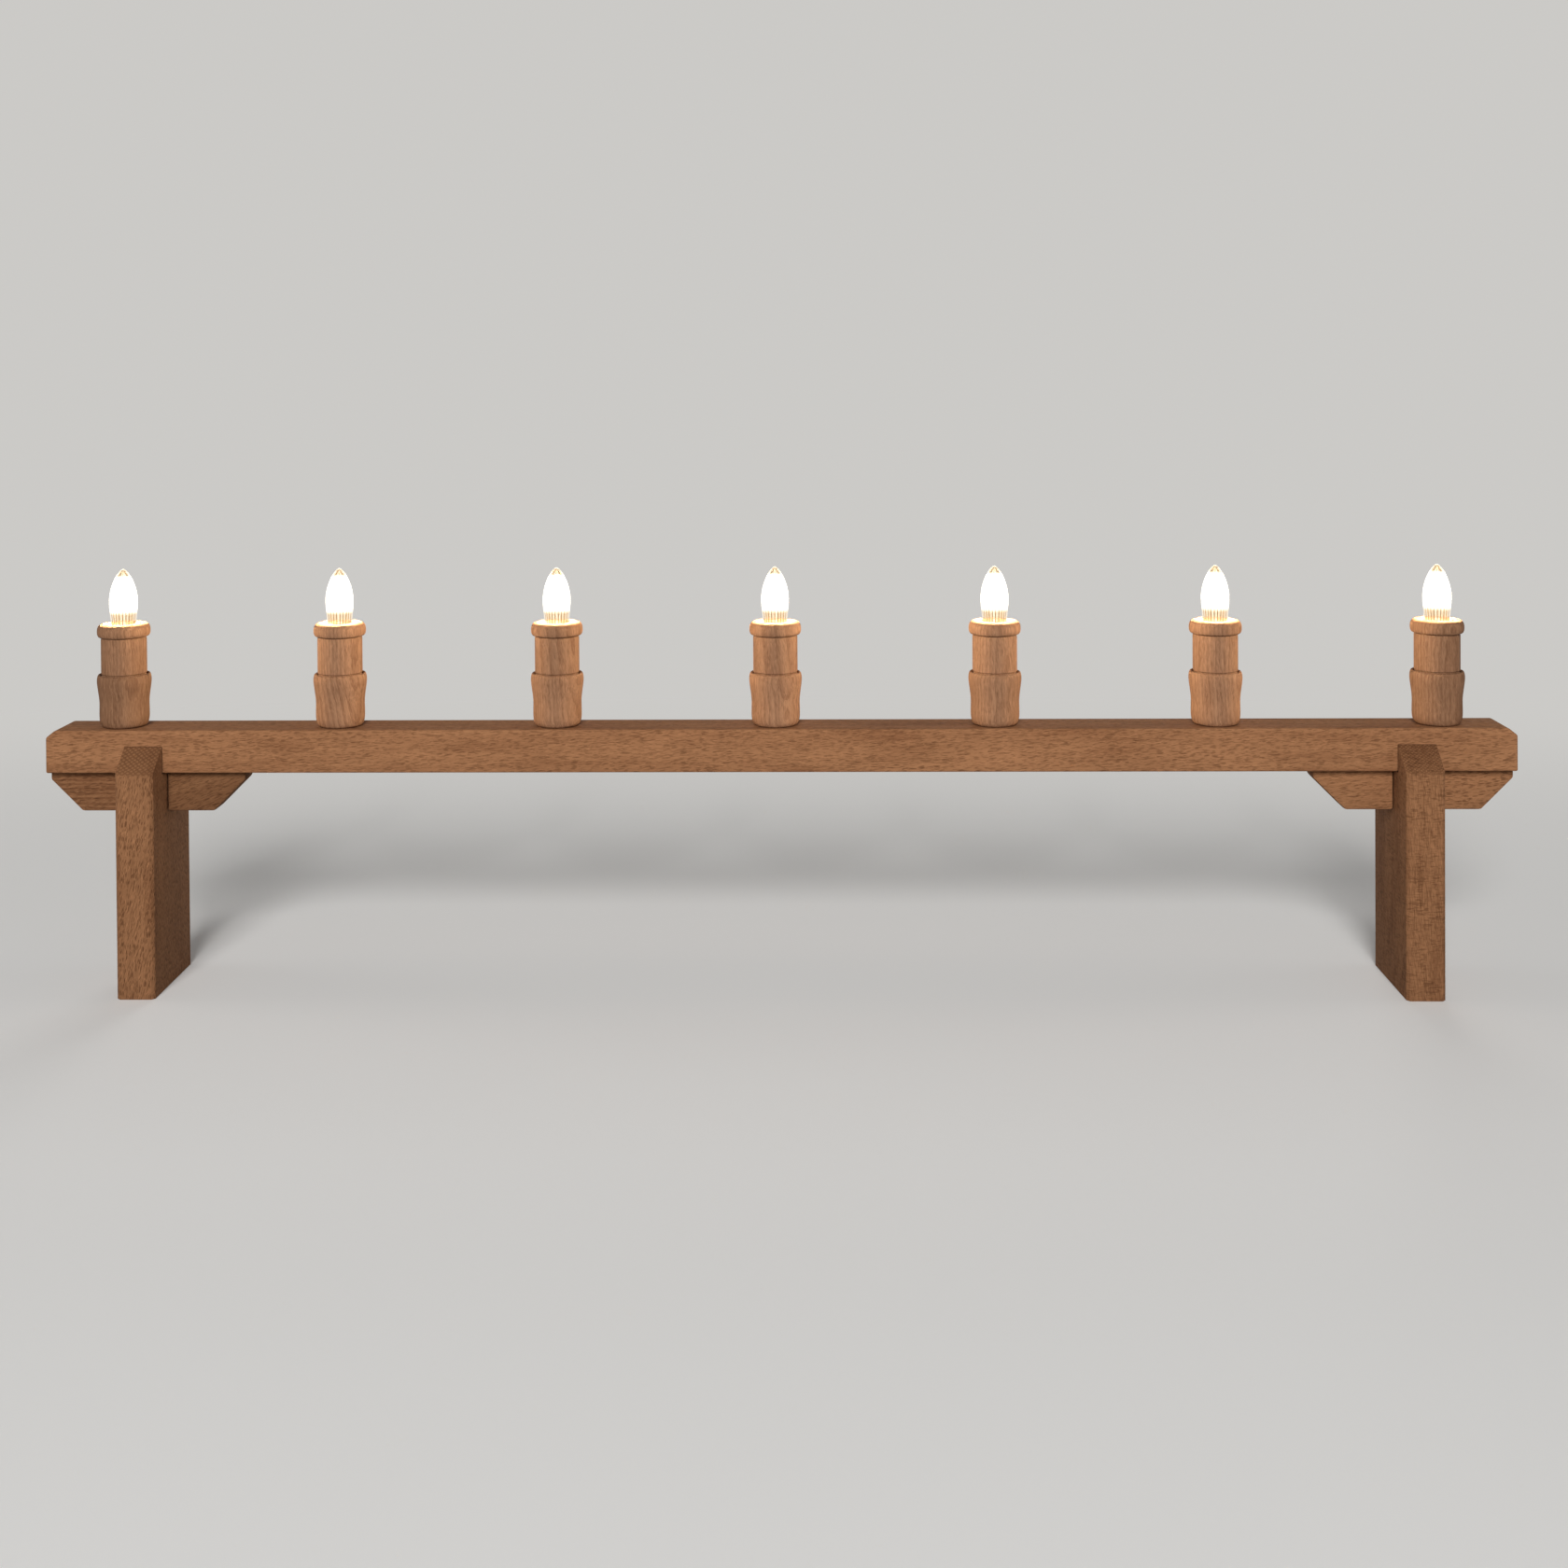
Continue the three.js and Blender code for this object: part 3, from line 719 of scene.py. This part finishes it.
turned_look = dict(grain="Z", pale="a2785a", deep="7d563e", flecks=0.16, streaks=0.16, painted_glints=0.3,
                   rings=0.42, ring_gap=1.5, clouds=0.62, fibres=0.34, slant=0.02)
cup_looks = [
    dict(shade=0.67, pith=(0.03, 0.02), seed=0.1, lean=(0.03, 0.02)),
    dict(shade=0.93, pith=(0.010, 0.012), seed=1.3, lean=(0.16, 0.05), rings=0.55, ring_gap=2.4),
    dict(shade=0.88, pith=(0.022, 0.05), seed=2.2, lean=(0.05, 0.0)),
    dict(shade=0.99, pith=(0.04, 0.02), seed=3.6, lean=(0.08, 0.06)),
    dict(shade=0.88, pith=(0.04, 0.01), seed=4.9, lean=(0.02, 0.05)),
    dict(shade=0.97, pith=(0.02, 0.03), seed=5.5, lean=(0.04, 0.02)),
    dict(shade=0.73, pith=(0.03, 0.03), seed=6.8, lean=(0.03, 0.06)),
]
candle_looks = [
    dict(shade=0.8, pith=(0.03, 0.05), seed=7.7, lean=(0.02, 0.03)),
    dict(shade=0.92, pith=(0.02, 0.03), seed=8.1, lean=(0.03, 0.0)),
    dict(shade=0.81, pith=(0.012, 0.018), seed=9.4, lean=(0.08, 0.03), rings=0.5, ring_gap=4.0),
    dict(shade=0.91, pith=(0.008, 0.016), seed=10.6, lean=(0.10, 0.04), rings=0.5, ring_gap=5.0),
    dict(shade=0.95, pith=(0.04, 0.02), seed=11.2, lean=(0.03, 0.05)),
    dict(shade=0.9, pith=(0.03, 0.04), seed=12.9, lean=(0.02, 0.02)),
    dict(shade=0.76, pith=(0.05, 0.02), seed=13.3, lean=(0.04, 0.03)),
]
first_cup = make_cup(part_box("candle_cup_1")[0].z)
first_candle = make_candle(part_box("candle_1")[0].z)
smooth(first_cup, 40)
smooth(first_candle, 40)
for n, cup, candle in zip(LAMPS, row_of(first_cup), row_of(first_candle)):
    for piece, kind, node, looks in (
        (cup, "beech_cup", f"candle_cup_{n}", cup_looks),
        (candle, "beech_candle", f"candle_{n}", candle_looks),
    ):
        wood = beech(f"{kind}_{n}", centre=node_middle(node), **{**turned_look, **looks[n - 1]})
        finished(piece, wood, "root", "turned_beech", node)


# Screw threads, rolled in brass or moulded

def threaded_tube(name, low, high, room=0.0):
    """A tube with the lamp's rolled thread, made round the Z axis and trimmed square at both ends."""
    start = CAP_BOTTOM - 3 * PITCH
    swing = (THREAD_CREST - THREAD_ROOT) / 2
    outline = []
    for step in range(THREAD_STEPS + 1):
        share = step / THREAD_STEPS
        radius = (THREAD_ROOT + THREAD_CREST) / 2 - swing * math.cos(2 * math.pi * share) + room
        outline.append((radius, 0, start + share * PITCH))
    piece = drawn_line(name, outline)
    done()
    screw = piece.modifiers.new("thread", "SCREW")
    screw.axis = "Z"
    screw.angle = 2 * math.pi
    screw.screw_offset = PITCH
    screw.iterations = THREAD_TURNS
    screw.steps = THREAD_SIDES
    screw.render_steps = THREAD_SIDES
    screw.use_merge_vertices = True
    screw.merge_threshold = TINY
    bpy.ops.object.modifier_apply(modifier=screw.name)
    edit(piece)
    for height, way in ((low, -1), (high, 1)):
        bpy.ops.mesh.select_all(action="SELECT")
        bpy.ops.mesh.bisect(
            plane_co=(0, 0, height), plane_no=(0, 0, way), clear_outer=True, threshold=TINY / 10)
    bpy.ops.mesh.select_all(action="SELECT")
    bpy.ops.mesh.remove_doubles(threshold=2 * TINY)
    done()
    return piece


def drawn_on(piece, height, rings):
    """Draws the open end at a height on through rings of (share of its width, height), in edit mode."""
    pick(piece, "edges", lambda e: e.is_boundary and abs(middle(e).z - height) < TINY)
    scale = 1.0
    for share, level in rings:
        bpy.ops.mesh.extrude_region_move(TRANSFORM_OT_translate={"value": (0, 0, level - height)})
        bpy.ops.transform.resize(value=(share / scale, share / scale, 1), center_override=(0, 0, level))
        scale, height = share, level


def moved_to_lamp(piece):
    edit(piece)
    bpy.ops.mesh.select_all(action="SELECT")
    bpy.ops.mesh.normals_make_consistent(inside=False)
    bpy.ops.transform.translate(value=(lamp_x[1], 0, 0))
    done()
    return piece


def make_cap():
    """The bulb's brass screw cap, open at the top and drawn in to a closed bottom over its tip."""
    low, high = CAP_BOTTOM + 1.7 * MM, CAP_TOP - 1.9 * MM
    piece = threaded_tube("screw_cap_1", low, high)
    edit(piece)
    drawn_on(piece, low, [(0.93, low - 0.25 * MM), (0.72, low - 0.7 * MM), (0.52, CAP_BOTTOM + 0.25 * MM),
                          (0.48, CAP_BOTTOM), (0.30, CAP_BOTTOM)])
    bpy.ops.mesh.merge(type="CENTER")
    drawn_on(piece, high, [(1.0, high + 0.3 * MM), (1.0, CAP_TOP - 0.5 * MM), (0.985, CAP_TOP - 0.1 * MM),
                           (0.96, CAP_TOP), (0.93, CAP_TOP), (0.915, CAP_TOP - 0.15 * MM),
                           (0.915, CAP_TOP - 2.0 * MM), (0.915, CAP_BOTTOM + 2.2 * MM),
                           (0.4, CAP_BOTTOM + 2.0 * MM)])
    bpy.ops.mesh.merge(type="CENTER")
    done()
    smooth(moved_to_lamp(piece), 50)
    return piece


def make_holder():
    """A lampholder: threaded bore, open mouth above it, a floor under the bulb and a socket below."""
    wide, low = HOLDER_RADIUS / MM, 98.5
    floor_low, floor_high, mouth, top = 122.5, 124.5, 140.7, 146.4
    inside = [(0.001, floor_low), (5.2, floor_low), (5.7, floor_low - 0.6), (5.7, low + 0.2)]
    outside = [(5.9, low), (6.8, low), (wide, low + 0.2), (wide, top - 0.4), (6.85, top), (6.25, top),
               (6.1, top - 0.3), (6.1, mouth + 0.4), (5.8, mouth)]
    shell = turned("holder_1", [(r * MM, h * MM) for r, h in inside + outside], 0.0)
    bore = threaded_tube("bore", floor_high * MM, mouth * MM, THREAD_ROOM)
    edit(bore)
    drawn_on(bore, floor_high * MM, [(0.3, floor_high * MM)])
    bpy.ops.mesh.merge(type="CENTER")
    done()
    alone(shell)
    bore.select_set(True)
    bpy.ops.object.join()
    edit(shell)
    pick(shell, "edges", lambda e: e.is_boundary and abs(middle(e).z - mouth * MM) < 2 * TINY)
    bpy.ops.mesh.bridge_edge_loops()
    done()
    bpy.ops.object.select_all(action="DESELECT")
    bpy.ops.mesh.primitive_cylinder_add(
        vertices=24, radius=LEAD_RADIUS + CLEARANCE, depth=4 * MM,
        location=(-LEAD_SPREAD, LANE_OFFSET, (floor_low + floor_high) / 2 * MM))
    cut_with(shell, [started("lead_hole")])
    smooth(moved_to_lamp(shell), 40)
    return shell


def make_tip():
    """The blob of solder at the bottom of the cap."""
    top, low = 128.8, 127.5
    rings = [(0.001, top), (1.5, top), (1.78, top - 0.1)]
    rings += bow4((1.78, top - 0.1), (1.86, top - 0.7), (1.5, low + 0.12), (0.7, low), 8) + [(0.001, low)]
    piece = turned("solder_tip_1", [(r * MM, h * MM) for r, h in rings], lamp_x[1], 32)
    smooth(piece, 60)
    return piece


def make_glass():
    """A ribbed, pointed candle glass, from its neck in the cap to its drawn-out point."""
    neck, widest, top = 140.7, 158.5, 171.5
    rings = [(3.95, 135.5), (4.05, 136.0), (4.05, 138.5), (4.05, neck)]
    rings += bow4((4.05, neck), (4.455, neck + 5.3), (5.6, widest - 6), (5.6, widest), 18)
    rings += bow4((5.6, widest), (5.6, widest + 5.3), (2.912, top - 1.9), (0.5, top - 0.25), 18)
    rings += [(0.3, top - 0.06), (0.002, top)]
    sides = GLASS_RIBS * RIB_STEPS
    piece = turned("ribbed_glass_1", [(r * MM, h * MM) for r, h in rings], 0.0, sides)
    edit(piece)
    grooves = {0: 0.93, 1: 0.968, 2: 0.992, 4: 0.992, 5: 0.968}
    for place, share in grooves.items():
        def in_groove(v, place=place):
            step = round(math.atan2(v.co.y, v.co.x) / (2 * math.pi) * sides) % RIB_STEPS
            return step == place and (neck + 0.8) * MM < v.co.z < (top - 0.2) * MM
        pick(piece, "verts", in_groove)
        bpy.ops.transform.resize(value=(share, share, 1), center_override=(0, 0, 0))
    done()
    wall = piece.modifiers.new("wall", "SOLIDIFY")
    wall.thickness = GLASS_WALL
    wall.offset = -1
    alone(piece)
    bpy.ops.object.modifier_apply(modifier=wall.name)
    edit(piece)
    bpy.ops.mesh.select_all(action="SELECT")
    bpy.ops.transform.translate(value=(lamp_x[1], 0, 0))
    done()
    smooth(piece, 60)
    return piece


def make_filament():
    """The glass stem, its two wires with a support between them, and the coiled filament."""
    x = lamp_x[1]
    foot, rim = 136.2, 149.5
    rings = [(0.001, foot), (3.1, foot), (2.9, foot + 0.6), (1.9, foot + 3), (1.35, foot + 7),
             (1.3, rim - 1.4), (1.1, rim - 0.4), (0.6, rim), (0.001, rim)]
    stem = turned("filament_mount_1", [(r * MM, h * MM) for r, h in rings], x, 24)
    reach, rise, z = 2.3 * MM, 2.0 * MM, FILAMENT_HEIGHT
    parts = []
    for side in (-1, 1):
        points = [(x + side * 0.7 * MM, 0, (rim - 2) * MM), (x + side * 0.8 * MM, 0, (rim + 1.5) * MM),
                  (x + side * reach, 0, z - rise), (x + side * reach, 0, z)]
        parts.append(bent_wire("mount_wire", points, 0.16 * MM, 0.8 * MM, 2))
    parts.append(bent_wire("mount_wire", [(x, 0, (rim - 2) * MM), (x, 0, z + rise)], 0.12 * MM, 0.0, 2))
    turns, corners, coil_radius = 22, 7, 0.26 * MM
    coil = []
    for step in range(turns * corners + 1):
        across = 2 * step / (turns * corners) - 1
        angle = 2 * math.pi * step / corners
        arch = rise * (1 - across ** 2)
        coil.append((x + reach * across, coil_radius * math.cos(angle),
                     z + arch + coil_radius * math.sin(angle)))
    parts.append(bent_wire("coil", coil, 0.06 * MM, 0.0, 1))
    alone(stem)
    for part in parts:
        part.select_set(True)
    bpy.ops.object.join()
    smooth(stem, 50)
    return stem


def make_leaf(number):
    """The sprung brass leaf that a bulb's tip presses on."""
    corners = [(-4, 0), (-3, 0), (-1.2, 2.2), (1.2, 2.2), (3, 0), (4, 0)]
    places = [(lamp_x[number] + a * MM, -LEAF_SPREAD / 2, LEAF_FOOT + h * MM) for a, h in corners]
    piece = drawn_line(f"contact_leaf_{number}", places)
    bpy.ops.mesh.select_all(action="SELECT")
    bpy.ops.mesh.bevel(offset=0.5 * MM, segments=4, affect="VERTICES")
    bpy.ops.mesh.select_all(action="SELECT")
    bpy.ops.mesh.extrude_region_move(TRANSFORM_OT_translate={"value": (0, LEAF_SPREAD, 0)})
    bpy.ops.mesh.select_all(action="SELECT")
    bpy.ops.mesh.normals_make_consistent(inside=False)
    done()
    sheet = piece.modifiers.new("sheet", "SOLIDIFY")
    sheet.thickness = LEAF_SHEET
    edit(piece)
    mesh = bmesh.from_edit_mesh(piece.data)
    mesh.faces.ensure_lookup_table()
    sheet.offset = 1.0 if mesh.faces[0].normal.z > 0 else -1.0
    done()
    bpy.ops.object.modifier_apply(modifier=sheet.name)
    smooth(piece, 40)
    return piece


def lead_route(number):
    """Where a lamp's lead runs: up to its leaf, from the lamp before it or from beside the inlet."""
    arrival = lamp_x[number] - LEAD_SPREAD
    rise = [(arrival, LANE_OFFSET, LANE_HEIGHT), (arrival, LANE_OFFSET, LEAD_TOP)]
    if number == 1:
        return [(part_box("return_lead")[0].x, LANE_OFFSET, LANE_HEIGHT)] + rise
    departure = lamp_x[number - 1] + LEAD_SPREAD
    return [(departure, LANE_OFFSET, LEAD_TERMINAL), (departure, LANE_OFFSET, LANE_HEIGHT)] + rise


# Finishes of the lamps

def plain_finish(name, colour, roughness, metallic=0.0, grain=900.0, mottle=0.12):
    """One colour, mottled with a fine dark speckle that also roughens it."""
    f = Finish(name)
    speckle = f.noise(f.where.outputs["Object"], grain, 3.0, 0.6)
    f.join(f.blend(f.span(speckle, 0.3, 0.7, 0.0, mottle), tone(colour), NEAR_BLACK),
           f.shader.inputs["Base Color"])
    f.join(f.span(speckle, 0.3, 0.7, roughness, roughness + 0.12), f.shader.inputs["Roughness"])
    f.shader.inputs["Metallic"].default_value = metallic
    f.join(f.bump(speckle, 0.2, SPECKLE_DEPTH), f.shader.inputs["Normal"])
    return f.material


def lit_glass(name, x):
    """Clear ribbed glass that glows with its filament. Its grooves at the neck and the point hold painted
    brown shade.
    """
    f = Finish(name)
    f.shader.inputs["Roughness"].default_value = 0.03
    f.shader.inputs["IOR"].default_value = 1.5
    f.shader.inputs["Transmission Weight"].default_value = 1.0
    here = f.add("ShaderNodeSeparateXYZ")
    f.join(f.placed(f.where.outputs["Object"], move=(-x, 0, 0)), here.inputs["Vector"])
    height = here.outputs["Z"]
    above_neck = f.span(height, *NECK_FADE)
    below_point = f.span(height, *POINT_FADE, 1.0, 0.0)
    body = f.math("MULTIPLY", above_neck, below_point)
    # Painted shade: at the neck and the point the grooves are tinted brown and glow less, standing in for
    # the dark rib lines
    angle = f.math("ARCTAN2", here.outputs["Y"], here.outputs["X"])
    groove = f.span(f.math("COSINE", f.math("MULTIPLY", angle, float(GLASS_RIBS))), 0.0, 0.8)
    painted_groove_shade = f.math("MULTIPLY", groove, f.math("SUBTRACT", 1.0, body))
    painted_shade_colour = f.blend(below_point, (0.14, 0.07, 0.02, 1), (0.5, 0.32, 0.15, 1))
    f.join(f.blend(painted_groove_shade, (1.0, 0.98, 0.94, 1), painted_shade_colour), f.shader.inputs["Base Color"])
    f.join(f.blend(body, (1.0, 0.78, 0.5, 1), (1.0, 0.93, 0.78, 1)), f.shader.inputs["Emission Color"])
    glow = f.math("SUBTRACT", body, f.math("MULTIPLY", painted_groove_shade, 0.3))
    f.join(f.span(glow, -0.3, 1.0, 0.0, 0.85, soft=False), f.shader.inputs["Emission Strength"])
    return f.material


def glowing_wire(name, x):
    """Dull nickel wires and a glass stem below, with the coil above them glowing."""
    f = Finish(name)
    here = f.add("ShaderNodeSeparateXYZ")
    f.join(f.placed(f.where.outputs["Object"], move=(-x, 0, 0)), here.inputs["Vector"])
    hot = f.span(here.outputs["Z"], *WIRE_FADE)
    glow = (1.0, 0.75, 0.4, 1)
    f.join(f.ramp(hot, (0.0, (0.62, 0.6, 0.56, 1)), (0.5, (0.8, 0.6, 0.3, 1)), (1.0, glow)),
           f.shader.inputs["Base Color"])
    f.shader.inputs["Roughness"].default_value = 0.25
    f.shader.inputs["Emission Color"].default_value = glow
    f.join(f.math("MULTIPLY", hot, 20.0), f.shader.inputs["Emission Strength"])
    return f.material


holder_plastic = plain_finish("moulded_plastic", "e9e4d6", 0.4, grain=1500, mottle=0.05)
cap_brass = plain_finish("rolled_brass", "c9a552", 0.24, metallic=1.0, mottle=0.3)
leaf_brass = plain_finish("spring_brass", "c09a48", 0.3, metallic=1.0, mottle=0.25)
solder_finish = plain_finish("solder", "b9bcc0", 0.3, metallic=1.0)
insulation = plain_finish("wire_insulation", "f2f0ea", 0.45, mottle=0.06)

patterns = {
    "lampholder": (make_holder(), "root", "holder_plastic"),
    "bulb_cap": (make_cap(), "bulb", "cap_brass"),
    "bulb_tip": (make_tip(), "tip", "solder"),
    "bulb_glass": (make_glass(), "bulb", "bulb_glass"),
    "filament": (make_filament(), "bulb", "filament"),
}
shared = {"lampholder": holder_plastic, "bulb_cap": cap_brass, "bulb_tip": solder_finish}
for kind, (pattern, body, slot) in patterns.items():
    for n, piece in zip(LAMPS, row_of(pattern)):
        if kind == "bulb_glass":
            material = lit_glass(f"ribbed_glass_{n}", lamp_x[n])
        elif kind == "filament":
            material = glowing_wire(f"filament_{n}", lamp_x[n])
        else:
            material = shared[kind]
        rides = body if body == "root" else f"{body}_{n}"
        nodes = [] if kind == "filament" else [f"{kind}_{n}"]
        finished(piece, material, rides, slot, *nodes)
        if kind in ("bulb_glass", "filament"):
            piece.visible_shadow = False

for n in LAMPS:
    lead = bent_wire(f"lead_{n}", lead_route(n), LEAD_RADIUS, LEAD_BEND)
    finished(lead, insulation, "root", "lead_insulation", f"contact_lead_{n}")
    finished(make_leaf(n), leaf_brass, "root", "cap_brass", f"contact_lead_{n}")
last = lamp_x[7] + LEAD_SPREAD
way_back = [(last, -LANE_OFFSET, LEAD_TERMINAL), (last, -LANE_OFFSET, LANE_HEIGHT),
            (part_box("return_lead")[0].x, -LANE_OFFSET, LANE_HEIGHT)]
back = bent_wire("lead_back", way_back, LEAD_RADIUS, LEAD_BEND)
finished(back, insulation, "root", "lead_insulation", "return_lead")

cover = box_piece("beech_groove_cover", *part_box("groove_cover"))
ease_edges(cover, COVER_EASE, 2)
smooth(cover)
cover_wood = beech("beech_groove_cover", "X", centre=node_middle("groove_cover"), shade=0.8, seed=15.0)
finished(cover, cover_wood, "root", "beech", "groove_cover")


# Floor, light and camera

def plain_floor():
    """A pale floor that runs into the pale surroundings all round."""
    bpy.ops.object.select_all(action="DESELECT")
    bpy.ops.mesh.primitive_plane_add(size=40, location=(0, 0, 0))
    floor = started("floor")
    f = Finish("pale_floor")
    path = f.add("ShaderNodeLightPath")
    f.join(f.blend(path.outputs["Is Camera Ray"], PALE, SEEN_FLOOR), f.shader.inputs["Base Color"])
    f.shader.inputs["Roughness"].default_value = 0.9
    f.shader.inputs["Specular IOR Level"].default_value = 0.1
    haze = f.add("ShaderNodeEmission")
    haze.inputs["Color"].default_value = PALE
    away = f.add("ShaderNodeVectorMath", operation="LENGTH")
    f.join(f.placed(f.where.outputs["Object"], move=HAZE_SHIFT, scale=HAZE_SHAPE), away.inputs[0])
    share = f.span(away.outputs["Value"], *HAZE_FADE)
    mix = f.add("ShaderNodeMixShader")
    f.join(share, mix.inputs["Fac"])
    f.join(f.shader.outputs["BSDF"], mix.inputs[1])
    f.join(haze.outputs["Emission"], mix.inputs[2])
    f.join(mix.outputs["Shader"], f.output.inputs["Surface"])
    floor.data.materials.append(f.material)


def unseen(lamp):
    """Keeps a light itself out of the picture, of reflections and of what shows through glass."""
    lamp.visible_camera = False
    lamp.visible_glossy = False
    lamp.visible_transmission = False


def soft_light(name, place, size, level):
    """A round soft light aimed at the object. At level 1 what faces it renders as its own colour."""
    light = bpy.data.lights.new(name, "AREA")
    light.shape = "DISK"
    light.size = size
    lamp = bpy.data.objects.new(name, light)
    bpy.context.scene.collection.objects.link(lamp)
    aim = Vector(AIM) - Vector(place)
    light.energy = level * math.pi ** 2 * aim.length_squared
    lamp.location = place
    lamp.rotation_euler = aim.to_track_quat("-Z", "Y").to_euler()
    unseen(lamp)


def pale_surroundings(fill):
    """A pale background for what is seen, reflected or seen through glass, and a faint even light."""
    world = bpy.data.worlds.new("surroundings")
    bpy.context.scene.world = world
    world.use_nodes = True
    tree = world.node_tree
    tree.nodes.clear()
    backgrounds = []
    for colour, strength in (((1, 1, 1, 1), fill), (PALE, 1.0)):
        background = tree.nodes.new("ShaderNodeBackground")
        background.inputs["Color"].default_value = colour
        background.inputs["Strength"].default_value = strength
        backgrounds.append(background)
    path = tree.nodes.new("ShaderNodeLightPath")
    looked_at = path.outputs["Is Camera Ray"]
    for ray in ("Is Glossy Ray", "Is Transmission Ray"):
        either = tree.nodes.new("ShaderNodeMath")
        either.operation = "MAXIMUM"
        tree.links.new(looked_at, either.inputs[0])
        tree.links.new(path.outputs[ray], either.inputs[1])
        looked_at = either.outputs[0]
    mix = tree.nodes.new("ShaderNodeMixShader")
    output = tree.nodes.new("ShaderNodeOutputWorld")
    tree.links.new(looked_at, mix.inputs["Fac"])
    tree.links.new(backgrounds[0].outputs[0], mix.inputs[1])
    tree.links.new(backgrounds[1].outputs[0], mix.inputs[2])
    tree.links.new(mix.outputs[0], output.inputs["Surface"])


def lamp_light(number, lit_wood):
    """The light of a lamp's filament on the turned wood round it."""
    light = bpy.data.lights.new(f"lamp_light_{number}", "POINT")
    light.color = LAMP_COLOUR
    light.energy = LAMP_ENERGY
    light.shadow_soft_size = LAMP_SIZE
    lamp = bpy.data.objects.new(light.name, light)
    bpy.context.scene.collection.objects.link(lamp)
    lamp.location = (lamp_x[number], 0, FILAMENT_HEIGHT)
    unseen(lamp)
    lamp.light_linking.receiver_collection = lit_wood
    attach(lamp, f"bulb_{number}")


plain_floor()
pale_surroundings(FILL)
soft_light("key_light", (-0.2, -3.35, 1.7), 1.4, 0.98)
soft_light("left_light", (-3.2, 0.3, 0.7), 1.6, 0.13)
soft_light("right_light", (3.2, 0.3, 0.7), 1.6, 0.1)
soft_light("back_light", (0.4, 3.4, 0.7), 1.8, 0.35)
turned_wood = bpy.data.collections.new("near_lamps")
for n in LAMPS:
    turned_wood.objects.link(bpy.data.objects[f"turned_cup_{n}"])
    turned_wood.objects.link(bpy.data.objects[f"turned_candle_{n}"])
for n in LAMPS:
    lamp_light(n, turned_wood)

camera_data = bpy.data.cameras.new("camera")
camera = bpy.data.objects.new("camera", camera_data)
bpy.context.scene.collection.objects.link(camera)
bpy.context.scene.camera = camera
camera_data.sensor_width = CAMERA_SENSOR
camera_data.lens = CAMERA_LENS
camera_data.shift_x, camera_data.shift_y = CAMERA_SHIFT
camera_data.clip_start = 10 * MM
camera.matrix_world = (
    Matrix.Translation(CAMERA_PLACE)
    @ Matrix.Rotation(-CAMERA_YAW, 4, "Z")
    @ Matrix.Rotation(math.pi / 2 + CAMERA_TILT, 4, "X")
    @ Matrix.Rotation(CAMERA_ROLL, 4, "Z")
)
bpy.context.scene.view_settings.view_transform = "Standard"
